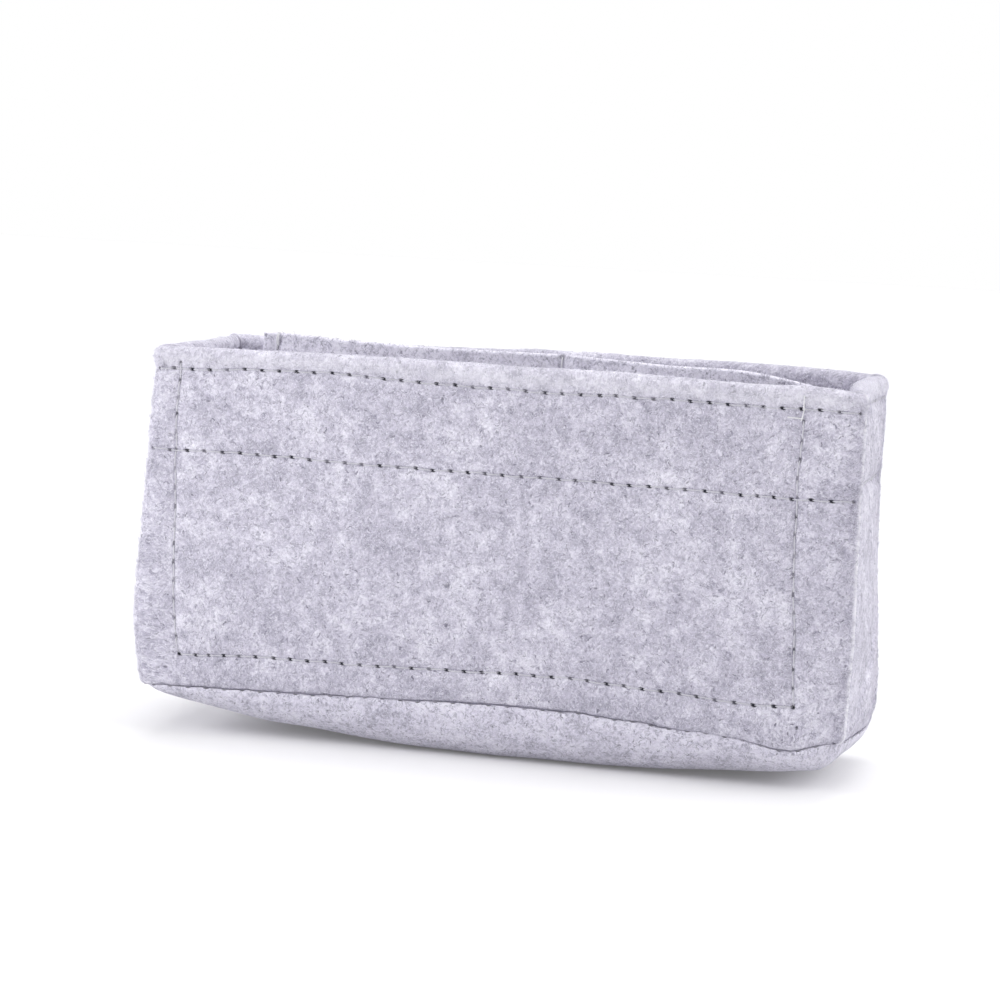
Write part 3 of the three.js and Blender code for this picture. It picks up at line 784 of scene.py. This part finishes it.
def wall_mesh(wall, maker, sheet):
    upright = [r.at for r in wall.rows if r.upright]
    level = [r.at for r in wall.rows if not r.upright] + [r.holes[0] for r in wall.rows if len(r.holes) == 1]
    ends = [-wall.x_end, wall.x_end]
    xs = in_steps(spaced(*ends, PITCH_X, upright + ends), COARSE_X)
    vs = in_steps(spaced(0.0, V_END, PITCH_V, level + [0.0, V_END]), COARSE_V)
    arcs = [np.linspace(V_FOLD, V_FACE, 11), np.linspace(V_TURN, V_FLAP, 6)]
    vs = np.unique(np.round(np.concatenate([vs, *arcs, *(c.stations() for c in wall.creases)]), 3))
    vs = in_steps(thinned(vs, 0.06), COARSE_V)
    x, v = np.meshgrid(xs, vs)
    edge = wall.x_end - np.abs(x) if wall.is_long else np.full(x.shape, FAR_OFF)
    edge = np.minimum(edge, RIM_HIGHLIGHT + np.abs(v - V_FACE - 1.0) / RIM_REACH)
    measures = row_measures(wall.rows, Row.measure, x, v) | felt_measure(x, outer_length(v), sheet)
    outer = maker.grid(wall.surface(x, v), measures | {"edge_t": edge})
    x, v = x[::COARSE_V, ::COARSE_X], v[::COARSE_V, ::COARSE_X]
    inner = maker.grid(wall.surface(x, v, -1), felt_measure(x + LENGTH, v, sheet), True)
    maker.close(outer, inner, COARSE_X, COARSE_V)


def turned_edges(wall, maker):
    """Upright edges of an end wall, turned in against its own inside."""
    noise = Noise(31)
    back = FELT + PLY_GAP
    tip = wall.run / 2 - TURNED_EDGE
    root = wall.run / 2 - FELT * 2 - PLY_GAP - 0.4
    zs = np.linspace(SEAM + FELT + 2.0, HEM_EDGE - 2.0, 40)
    for side in (-1, 1):
        x, z = np.meshgrid(side * np.linspace(tip, root, 9), zs)
        wobble = 0.2 * noise(x, z, 9.0)
        shown = soften(wall.place(x, back + FELT + wobble, z))
        hidden = soften(wall.place(x, back - 0.15 + wobble, z))
        outer = maker.grid(shown, felt_measure(x, z, TURNED_SHEET))
        inner = maker.grid(hidden, felt_measure(x + LENGTH, z, TURNED_SHEET), True)
        maker.close(outer, inner)


for sheet, (key, wall) in enumerate(WALLS.items()):
    maker = MeshMaker()
    wall_mesh(wall, maker, sheet)
    if not wall.is_long:
        turned_edges(wall, maker)
    place_piece(maker.finish("felt_" + key + "_wall", FELT_SEWN), "felt", key + "_wall")


# Bottom panel: rings from the seam inwards

BELLY_TOP = SEAM + 0.22
# Offset of the painted seam shade from the seam
SEAM_SHADE_OFFSET = 0.2
EDGE_SHARE, EDGE_TAPER = 0.25, 3.0
BELLY_ROUND = 15.0
BELLY_INSET = 0.5
BELLY_CORNER = 7.0
BELLY_A = LENGTH / 2 - BELLY_INSET
BELLY_B = DEPTH / 2 - BELLY_INSET
LONG_STEPS, END_STEPS, CORNER_STEPS, FIRST_STEP = 230, 80, 12, 500
END_BLEND = 24
# Lowest height of the pillow along the box: it hangs fuller to the right
BELLY_LOW = guide(
    (-99.5, 11.5), (-94, 9.7), (-78, 6.1), (-66, 3.8), (-53, 2.9), (-41, 1.5), (-27, 0.4), (-5, 0.0),
    (25, 0.0), (45, 0.4), (67, 2.2), (82, 3.3), (88, 4.2), (99.5, 5.0),
)
belly_noise = Noise(17)


def outline():
    """Round the seam: place on the shrinking core (-1 to 1 each way) and outward normal."""
    turns = []
    for sx, sy, start in ((1, -1, -90), (1, 1, 0), (-1, 1, 90), (-1, -1, 180)):
        angles = np.radians(start + 90 * np.arange(CORNER_STEPS) / CORNER_STEPS)
        turns.append(np.stack([0 * angles + sx, 0 * angles + sy, np.cos(angles), np.sin(angles)], -1))
        at_end = sx != sy
        count = END_STEPS if at_end else LONG_STEPS
        share = 1 - 2 * np.arange(count) / count
        x, y = (0 * share + sx, share * sy) if at_end else (share * sx, 0 * share + sy)
        stop = math.radians(start + 90)
        turns.append(np.stack([x, y, 0 * share + math.cos(stop), 0 * share + math.sin(stop)], -1))
    return np.concatenate(turns)


def seam_lift(x, y):
    """The seam rides up and down with the feet of the four walls, a little unevenly."""
    front = smoothstep(-y, -DEPTH / 2, DEPTH / 2)
    along = front * front_seam(x) + (1 - front) * back_seam(-x)
    across = np.where(x > 0, right_seam(y), left_seam(-y))
    end = np.minimum(np.abs(x / (LENGTH / 2)), 1.0) ** END_BLEND
    return along * (1 - end) + across * end


def belly_surface(line, insets):
    """Points of the pillow at each inset from the seam; rows are insets."""
    inset = insets[:, None]
    past = np.maximum(inset - BELLY_CORNER, 0.0)
    radius = np.maximum(BELLY_CORNER - inset, 0.0)
    x = line[:, 0] * (BELLY_A - BELLY_CORNER - past) + line[:, 2] * radius
    y = line[:, 1] * (BELLY_B - BELLY_CORNER - past) + line[:, 3] * radius
    share = np.clip(inset / BELLY_ROUND, 0, 1)
    full = np.sqrt(1 - (1 - share) ** 2)
    lift = (seam_lift(x, y) - 0.35 * np.maximum(belly_noise(x, y, 7.0), 0.0)) * (1 - full)
    z = BELLY_TOP + lift - (BELLY_TOP - BELLY_LOW(x)) * full + 0.25 * belly_noise(x, y, 14.0) * full
    return np.stack([x, y, np.maximum(z, 0.02)], -1)


def bottom_mesh(maker):
    line = np.roll(outline(), FIRST_STEP, axis=0)
    arc = BELLY_ROUND * (1 - np.cos(np.linspace(0, math.pi / 2, 22)))
    insets = np.concatenate([arc, np.linspace(BELLY_ROUND, BELLY_B - 0.4, 9)[1:]])
    outer = belly_surface(line, insets)
    normal = np.cross(np.gradient(outer, axis=0), np.roll(outer, -1, 1) - np.roll(outer, 1, 1))
    length = np.linalg.norm(normal, axis=2, keepdims=True)
    normal = np.where(length > 1e-9, unit(normal), np.array([0, 0, 1.0]))
    normal = np.where(normal[..., 2:3] < 0, -normal, normal)
    thickness = FELT * (EDGE_SHARE + (1 - EDGE_SHARE) * smoothstep(insets, 0.0, EDGE_TAPER))
    inside = outer + normal * thickness[:, None, None]
    run = np.linalg.norm(np.diff(outer, axis=0), axis=2)
    run = np.concatenate([np.zeros((1, len(line))), np.cumsum(run, axis=0)])
    spread = (run[len(arc) - 1] - run) - (BELLY_ROUND - insets[:, None])
    spread = np.where(insets[:, None] < BELLY_ROUND, spread, 0.0)
    u, v = outer[..., 0] + line[:, 2] * spread, outer[..., 1] + line[:, 3] * spread
    around = np.linalg.norm(np.diff(outer[0], axis=0), axis=1)
    place = np.concatenate([[0.0], np.cumsum(around)]) / PITCH + ROW_STEP * Row.made
    # Painted shade along the seam: needle holes and a dark line on the bottom's top edge, where the gap
    # under the walls is in shade
    sewn = {"level_s": place + 0 * run, "level_t": run + SEAM_SHADE_OFFSET, "level_n": -run}
    far = np.full(run.shape, FAR_OFF)
    sewn |= {"upright_t": far, "edge_t": far}
    first = maker.grid(soften(outer), felt_measure(u, v, BOTTOM_SHEET) | sewn, False, True)
    second = maker.grid(soften(inside), felt_measure(u + LENGTH * 2, v, BOTTOM_SHEET), True, True)
    maker.bridge(first[0], second[0])
    for index in (first[-1], second[-1]):
        maker.faces.append([int(i) for i in index[:-1]])


maker = MeshMaker()
bottom_mesh(maker)
bottom = maker.finish("felt_bottom_panel", FELT_BOTTOM_PAINTED_LIGHT)
place_piece(bottom, "felt", "bottom_panel")


# Pocket panels

POCKET_LOW = FOOT_ROW - 3.0
POCKET_TOP = HEIGHT - 2.0
SIDE_ROW_TOP = HEIGHT - 2.05
INNER_DIVIDER_TOP = HEIGHT - 2.6
POCKET_LIFT = 4.0
POCKET_PRESS = 0.05
POCKET_SLACK = 7.0
BACK_ROW_SHIFT = -1.3
DIVIDER_SHARE, DIVIDER_PINCH_AND_SHADE = 0.5, 0.45
EDGE_ROUND, EDGE_PINCH = 0.9, 0.42
POCKET_PITCH, POCKET_COLUMNS = 1.4, 146
# Places of the points in the margins outside the side rows
NEAR_MARGIN = 1.2 * np.array([1.0, 0.93, 0.7, 0.3])
FAR_MARGIN = 4.8 * np.array([0.3, 0.6, 0.85, 0.96, 1.0])


def foot_arch(x):
    return FOOT_ARCH * (1 - (2 * x / LENGTH) ** 2)


class Pocket:
    """A panel sewn inside a wall: x along the wall, z up, and upright rows by their share of its width."""

    def __init__(self, wall, bays, far_shift, seed, mouth):
        self.wall, self.bays, self.far_shift, self.mouth = wall, bays, far_shift, mouth
        self.noise = Noise(seed)
        self.rows = {
            "near": Row(True, 0.0, FOOT_ROW, SIDE_ROW_TOP),
            "foot": Row(False, FOOT_ROW, NEAR_ROW[1], FAR_ROW[1]),
            "far": Row(True, 1.0, FOOT_ROW, SIDE_ROW_TOP),
        }
        if bays > 1:
            self.rows["divider"] = Row(True, DIVIDER_SHARE, DIVIDER_LOW, INNER_DIVIDER_TOP)

    def sides(self, z):
        share = (POCKET_TOP - z) / (POCKET_TOP - FOOT_ROW)
        near = NEAR_ROW[0] + (NEAR_ROW[1] - NEAR_ROW[0]) * share
        far = FAR_ROW[0] + (FAR_ROW[1] - FAR_ROW[0]) * share + self.far_shift
        return near, far

    def face(self, x, z):
        """Reach into the box of the face against the wall: each bay stands open at its mouth."""
        near, far = self.sides(z)
        share = np.clip((x - near) / (far - near), 0, 1)
        bay = 2 * ((share * self.bays) % 1.0) - 1
        over = smoothstep(z, FOOT_ROW + POCKET_LIFT, HEM_EDGE - POCKET_LIFT)
        reach = FELT + (RIM - FELT) * over + POCKET_PRESS
        opened = smoothstep(z, FOOT_ROW + POCKET_LIFT, HEM_EDGE)
        return reach + POCKET_SLACK * opened * (1 - bay**2)

    def row_measure(self, row, x, z):
        """As a row's own measure, but on the panel, and with no side of the row told apart."""
        if row.upright:
            near, far = self.sides(z)
            t, place, _ = row.measure(row.at + x - (near + (far - near) * row.at), z)
            # The divider's measure is shrunk, which widens its dent and makes its needle holes and line a
            # wider patch of painted shade
            t = t * (DIVIDER_PINCH_AND_SHADE if row.at == DIVIDER_SHARE else 1.0)
        else:
            t, place, _ = row.measure(x, z - foot_arch(x))
        return t, place, 0 * x

    def measures(self, x, z):
        return row_measures(self.rows.values(), self.row_measure, x, z)

    def relief(self, x, z):
        d = self.noise.layered(x, z, POCKET_LAYERS)
        m = self.measures(x, z)
        for key in ("level", "upright"):
            d = d - row_dent(m[key + "_t"], m[key + "_s"], **POCKET_DENT)
        return d

    def point(self, x, z, depth, lift=0.0):
        """depth 0 is the face against the wall and 1 the face that shows inside the box."""
        reach = self.face(x, z) + depth * (FELT + self.relief(x, z)) + lift
        top = HEIGHT + self.mouth(x) - POCKET_TOP
        high = z + top * smoothstep(z, HEM_EDGE, POCKET_TOP)
        return soften(self.wall.place(x, reach, high))


def pocket_mesh(pocket, maker):
    zs = spaced(POCKET_LOW, POCKET_TOP, POCKET_PITCH, [FOOT_ROW + 0.8, POCKET_LOW, POCKET_TOP])
    near, far = pocket.sides(zs[:, None])
    middle = near + (far - near) * np.linspace(0.0, 1.0, POCKET_COLUMNS)
    x = np.concatenate([near - NEAR_MARGIN, middle, far + FAR_MARGIN], axis=1)
    z = zs[:, None] + 0 * x
    edge = np.minimum.reduce([x - x[:, :1], x[:, -1:] - x, z - zs[0], zs[-1] - z])
    pinch = 0.5 * (1 - np.sqrt(1 - (1 - np.clip(edge / EDGE_ROUND, 0, 1)) ** 2))
    pinch = np.minimum(pinch, EDGE_PINCH)
    sheet = POCKET_SHEET + pocket.bays
    inside = maker.grid(pocket.point(x, z, 1 - pinch), pocket.measures(x, z) | felt_measure(x, z, sheet))
    outside = maker.grid(pocket.point(x, z, pinch), felt_measure(x + LENGTH, z, sheet), True)
    maker.close(inside, outside)


# Height of the mouths against the rim: in the back wall's own x the right half comes first
front_mouth = guide((-95, -2.0), (-40, -2.6), (20, -1.8), (90, -2.2))
back_mouth = guide(
    (-94, -4.5), (-84, -4.0), (-74, -2.0), (-64, -0.4), (-38, 0.1), (-14, 0.8), (40, 1.1), (88, 2.3)
)
POCKETS = {
    "front": Pocket(WALLS["front"], 1, 0.0, 41, front_mouth),
    "back": Pocket(WALLS["back"], 2, BACK_ROW_SHIFT, 43, back_mouth),
}
POCKET_FELT = {}
for key, pocket in POCKETS.items():
    maker = MeshMaker()
    pocket_mesh(pocket, maker)
    felt = maker.finish("felt_" + key + "_pocket_panel", FELT_POCKET_PAINTED_LIGHT)
    POCKET_FELT[key] = place_piece(felt, "felt", key + "_pocket_panel")


# Stitches

THREAD_RADIUS = 0.21
THREAD_SIDES = 6
STEEP = 0.8
STATIONS = np.linspace(0.06, 0.94, 9)
WHOLE = np.linspace(0.0, 1.0, len(STATIONS))
STITCH_SLACK = 0.1
POCKET_STITCH_PROUD = 0.4
EDGE_REACH = 2 * FELT + PLY_GAP
EDGE_OFFSET = DEPTH / 2 - (TURNED_EDGE + RIM) / 2
SEAM_START = 2.0


def tubes(maker, paths, radius=THREAD_RADIUS, sides=THREAD_SIDES, values=None):
    """Round threads or fibres along many paths of equal point count, closed at both ends."""
    stations = paths.shape[1]
    along = unit(np.gradient(paths, axis=1))
    steep = np.abs(along[:, stations // 2, 2]) > STEEP
    ref = np.where(steep[:, None], np.array([1.0, 0.0, 0.0]), np.array([0.0, 0.0, 1.0]))
    side = unit(np.cross(along, ref[:, None, :]))
    up = np.cross(side, along)
    angles = np.arange(sides) * 2 * math.pi / sides
    ring = side[:, :, None] * np.cos(angles)[:, None] + up[:, :, None] * np.sin(angles)[:, None]
    spread = {key: np.repeat(value, stations * sides) for key, value in (values or {}).items()}
    index = maker.add(paths[:, :, None] + radius * ring, spread)
    turned = np.roll(index, -1, axis=2)
    quads = np.stack([index[:, :-1], turned[:, :-1], turned[:, 1:], index[:, 1:]], axis=-1)
    maker.faces.extend(quads.reshape(-1, 4).tolist())
    maker.faces.extend(index[:, 0, ::-1].tolist())
    maker.faces.extend(index[:, -1].tolist())


def stitch_lift(share):
    """Height of a stitch over the felt: out of one hole, over the felt, into the next."""
    return -0.38 + 0.5 * np.sin(np.pi * share**0.75) ** 0.6


def between_holes(row):
    """Places of each stitch's points along the row, and their wander across it."""
    low, high = row.holes[:-1, None], row.holes[1:, None]
    start, stop = row.wander[:-1, None], row.wander[1:, None]
    slack = rng.normal(0.0, STITCH_SLACK, low.shape) * np.sin(np.pi * STATIONS)
    return low + (high - low) * STATIONS, start + (stop - start) * STATIONS + slack


def wall_stitches(maker, wall, rows):
    for row in rows:
        along, wander = between_holes(row)
        across = row.at + wander
        x, v = (across, along) if row.upright else (along, across)
        tubes(maker, wall.surface(x, v, 1, stitch_lift(STATIONS)))


def pocket_stitches(maker, pocket, rows):
    for row in rows:
        along, wander = between_holes(row)
        if row.upright:
            z = along
            near, far = pocket.sides(z)
            x = near + (far - near) * row.at + wander
        else:
            x = along
            z = row.at + foot_arch(x) + wander
        tubes(maker, pocket.point(x, z, 1.0, stitch_lift(STATIONS) + POCKET_STITCH_PROUD))


def backtack(maker, wall):
    """Where the front pocket's row starts the under thread is pulled through and shows white."""
    lift = 0.1 + 0.3 * np.sin(np.pi * WHOLE)
    for x0, drop0, x1, drop1 in ((83.9, 2.4, 84.1, 6.0), (84.3, 5.6, 83.8, 9.0), (80.0, 8.2, 84.2, 8.4)):
        x = x0 + (x1 - x0) * WHOLE
        v = face_v(HEIGHT - drop0 - (drop1 - drop0) * WHOLE)
        tubes(maker, wall.surface(x, v, 1, lift)[None])


def pocket_backtack(maker, pocket):
    """The back pocket's left row starts with stitches sewn twice over."""
    lift = 0.75 + 0.25 * np.sin(np.pi * WHOLE)
    for shift, low, high in ((-0.3, 5.6, 1.9), (0.3, 5.2, 2.0), (0.0, 5.4, 1.95)):
        z = HEIGHT - low + (low - high) * WHOLE
        x = pocket.sides(z)[1] + shift * (1 - 0.6 * WHOLE)
        tubes(maker, pocket.point(x, z, 1.0, lift)[None], 1.4 * THREAD_RADIUS)


def under_stitches(maker, pocket):
    pocket_stitches(maker, pocket, [pocket.rows[k] for k in ("near", "foot", "far")])
    if pocket is POCKETS["front"]:
        backtack(maker, pocket.wall)
    else:
        pocket_backtack(maker, pocket)


def corner_stitches(maker, wall, offset):
    zs = np.linspace(SEAM + FELT + 4.0, HEM_EDGE - 4.0, 12)
    z = zs[:-1, None] + np.diff(zs)[:, None] * STATIONS
    reach = EDGE_REACH + stitch_lift(STATIONS) + 0 * z
    tubes(maker, soften(wall.place(0 * z + offset, reach, z)))


def seam_stitches(maker):
    inset = (FELT + ALLOWANCE) / 2
    a, b = LENGTH / 2 - inset, DEPTH / 2 - inset
    corners = np.array([(-SEAM_START, b), (-a, b), (-a, -b), (a, -b), (a, b), (SEAM_START, b)])
    for p, q in zip(corners, corners[1:]):
        count = max(1, round(float(np.linalg.norm(q - p)) / PITCH))
        share = (np.arange(count)[:, None] + STATIONS) / count
        xy = p + (q - p) * share[..., None]
        z = SEAM + FELT + 0.25 + seam_lift(xy[..., 0], xy[..., 1]) + stitch_lift(STATIONS)
        tubes(maker, soften(np.concatenate([xy, z[..., None]], axis=-1)))


def thread_piece(name, material, fill, *values):
    maker = MeshMaker()
    fill(maker, *values)
    obj = maker.finish("stitches_" + name, material, angle=80.0)
    place_piece(obj, "sewing_thread", name if name.startswith(("corner", "bottom")) else name + "_thread")


for key, wall in WALLS.items():
    for name, row in ROWS[key].items():
        material = NEEDLE_THREAD if name.endswith("needle") else BOBBIN_THREAD
        thread_piece(f"{key}_{name}", material, wall_stitches, wall, [row])
for key, pocket in POCKETS.items():
    thread_piece(key + "_pocket_needle", NEEDLE_THREAD, wall_stitches, WALLS[key], U_ROWS[key].values())
    thread_piece(key + "_pocket_bobbin", BOBBIN_THREAD, under_stitches, pocket)
inner_divider = POCKETS["back"].rows["divider"]
thread_piece("back_divider_needle", NEEDLE_THREAD, wall_stitches, WALLS["back"], [DIVIDER])
thread_piece("back_divider_bobbin", BOBBIN_THREAD, pocket_stitches, POCKETS["back"], [inner_divider])
for name, key, offset in (
    ("front_right", "right_end", -EDGE_OFFSET),
    ("back_right", "right_end", EDGE_OFFSET),
    ("back_left", "left_end", -EDGE_OFFSET),
    ("front_left", "left_end", EDGE_OFFSET),
):
    thread_piece("corner_seam_thread_" + name, BOBBIN_THREAD, corner_stitches, WALLS[key], offset)
thread_piece("bottom_seam_thread", BOBBIN_THREAD, seam_stitches)


# Loose fibres that stand off the felt

FIBRE_RADIUS = 0.04
FIBRE_SIDES = 3
FIBRE_POINTS = np.linspace(0.0, 1.0, 4)
WALL_FIBRES = {"front": 6500, "back": 4000, "left_end": 2200, "right_end": 2200}
POCKET_FIBRES = 1500
fibre_random = np.random.default_rng(77)


def fibre_paths(count, low, high, length):
    """Curling lines on flat felt from random roots between the low and high corners."""
    random = fibre_random
    root = random.uniform(low, high, (count, 2))
    heading = random.uniform(0, 2 * math.pi, (count, 1)) + random.normal(0, 1.0, (count, 1)) * FIBRE_POINTS
    step = random.uniform(length[0], length[1], (count, 1)) / (len(FIBRE_POINTS) - 1)
    x = root[:, :1] + np.cumsum(np.cos(heading) * step, axis=1)
    y = root[:, 1:] + np.cumsum(np.sin(heading) * step, axis=1)
    lift = random.gamma(2.0, 0.11, (count, 1)) * np.sin(0.8 * np.pi * FIBRE_POINTS) + 0.03
    return x, y, lift


def wall_fibres(maker, wall, count):
    edge = wall.x_end - 0.4
    rim_highlight_pale = 0.6 if wall.is_long else 0.8
    # Share of the fibres, least paleness, and the two corners of each zone; the pale fibres on the rims, the
    # left edge and the right corner are painted highlight
    zones = (
        (0.34, rim_highlight_pale, (-edge, V_FOLD - 3.0), (edge, V_FACE + 5.0)),
        (0.12, 0.7, (-edge, V_FACE), (-edge + 4.0, V_TURN)),
        (0.12, 0.1, (edge - 4.0, V_FACE), (edge, V_TURN)),
        (0.10, 0.8, (edge - 1.6, V_FACE - 3.0), (edge - 0.4, V_TURN)),
        (0.10, 0.1, (-edge, V_TURN - 4.0), (edge, V_FLAP)),
        (0.22, 0.0, (-edge, V_FACE), (edge, V_TURN)),
    )
    for share, pale, low, high in zones:
        x, v, lift = fibre_paths(int(count * share), low, high, (0.6, 1.7))
        x = np.clip(x, -edge, edge)
        tone = {"fibre_tone": pale + (1 - pale) * fibre_random.uniform(0, 1, len(x))}
        tubes(maker, wall.surface(x, v, 1, lift), FIBRE_RADIUS, FIBRE_SIDES, tone)


def pocket_fibres(maker, pocket, count):
    x, z, lift = fibre_paths(count, (-92.0, HEIGHT - 5.0), (84.0, POCKET_TOP), (0.6, 1.8))
    depth = fibre_random.uniform(0.1, 0.95, (count, 1))
    rise = np.maximum(z - POCKET_TOP, 0.0)
    path = pocket.point(x, np.minimum(z, POCKET_TOP), depth, lift * depth)
    path[..., 2] += 0.4 * rise
    tubes(maker, path, FIBRE_RADIUS, FIBRE_SIDES, {"fibre_tone": fibre_random.uniform(0, 1, count)})


def fibre_piece(name, fill, *values):
    maker = MeshMaker()
    fill(maker, *values)
    obj = maker.finish(name, FIBRE, angle=180.0)
    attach(obj, "root")
    return obj


for key, wall in WALLS.items():
    loose = fibre_piece("fibres_" + key + "_wall", wall_fibres, wall, WALL_FIBRES[key])
for key, pocket in POCKETS.items():
    loose = fibre_piece("fibres_" + key + "_pocket", pocket_fibres, pocket, POCKET_FIBRES)
    felt = POCKET_FELT[key]


# Stage: floor, light and camera

PAPER_COLOUR = (0.8, 0.8, 0.805, 1.0)
GLOW_COLOUR = (1.0, 0.99, 1.0, 1.0)
FLOOR_GLOW = 0.13
FLOOR_HALF, FLOOR_LEVEL = 6.0, -0.0004
SKY = 0.4
CAMERA_SIDE = 0.25
CAMERA_WAY = (0.2, -0.96, 0.1)
# Each sun's name, direction, strength and spread in degrees
SUNS = (
    ("sun_top", (0.0, 0.4, 1.0), 0.47, 50.0),
    ("sun_right", (1.0, -0.02, 0.72), 0.53, 50.0),
    ("sun_front", (0.1, -1.0, 0.7), 0.19, 40.0),
)
LAMP_AT, LAMP_AIM = (-0.75, -0.4, 0.4), (-0.05, 0.0, 0.06)
LAMP_WIDTH, LAMP_WATTS = 0.4, 4.2
YAW, PITCH_DOWN, ROLL = 0.2158, 0.1128, 0.0518
CAMERA_AT = (0.15401, -0.72746, 0.15476)
FOCAL_PX, FRAME_PX, SENSOR = 2600.0, 1000.0, 36.0


def seen_directly(t):
    """1 for the rays that show the backdrop, and 0 for those that light the object."""
    path = t.add("LightPath")
    seen = t.math("MAXIMUM", path["Is Camera Ray"], path["Is Glossy Ray"])
    return t.math("MAXIMUM", seen, path["Is Transmission Ray"])


def paper_shader(t):
    paper = t.add("BsdfDiffuse", Color=PAPER_COLOUR)
    lit = t.add("Emission", Color=GLOW_COLOUR, Strength=t.times(seen_directly(t), FLOOR_GLOW))
    return t.add("AddShader", i0=paper[0], i1=lit[0])


def floor():
    mesh = bpy.data.meshes.new("floor")
    ways = ((-1, -1), (1, -1), (1, 1), (-1, 1))
    corners = [(x * FLOOR_HALF, y * FLOOR_HALF, FLOOR_LEVEL) for x, y in ways]
    mesh.from_pydata(corners, [], [(0, 1, 2, 3)])
    obj = link_object("floor", mesh)
    mesh.materials.append(new_material("floor_paper", paper_shader))


def shine_from(obj, way):
    obj.rotation_euler = Vector(way).to_track_quat("Z", "Y").to_euler()


def studio():
    world = bpy.data.worlds.new("studio")
    bpy.context.scene.world = world
    world.use_nodes = True
    t = Tree(world.node_tree)
    toward = t.dot(t.add("TexCoord")["Generated"], CAMERA_WAY)
    tent = t.span(toward, 0.0, 0.9, SKY, CAMERA_SIDE)
    strength = t.math("MAXIMUM", seen_directly(t), tent)
    t.add("OutputWorld", Surface=t.add("Background", Color=(1.0, 1.0, 1.0, 1.0), Strength=strength)[0])
    for name, way, sun_strength, spread in SUNS:
        sun = bpy.data.lights.new(name, "SUN")
        sun.energy = sun_strength * math.pi
        sun.angle = math.radians(spread)
        shine_from(link_object(name, sun), way)
    lamp = bpy.data.lights.new("lamp_left", "AREA")
    lamp.energy = LAMP_WATTS
    lamp.size = LAMP_WIDTH
    obj = link_object("lamp_left", lamp)
    obj.location = LAMP_AT
    shine_from(obj, Vector(LAMP_AT) - Vector(LAMP_AIM))


def camera():
    data = bpy.data.cameras.new("camera")
    data.sensor_width = SENSOR
    data.sensor_fit = "HORIZONTAL"
    data.lens = SENSOR * FOCAL_PX / FRAME_PX
    data.clip_start = 0.01
    obj = link_object("camera", data)
    aim = Matrix.Rotation(YAW, 4, "Z") @ Matrix.Rotation(math.pi / 2 - PITCH_DOWN, 4, "X")
    obj.matrix_world = Matrix.Translation(CAMERA_AT) @ aim @ Matrix.Rotation(ROLL, 4, "Z")
    bpy.context.scene.camera = obj


floor()
studio()
camera()
bpy.context.scene.view_settings.view_transform = "Standard"
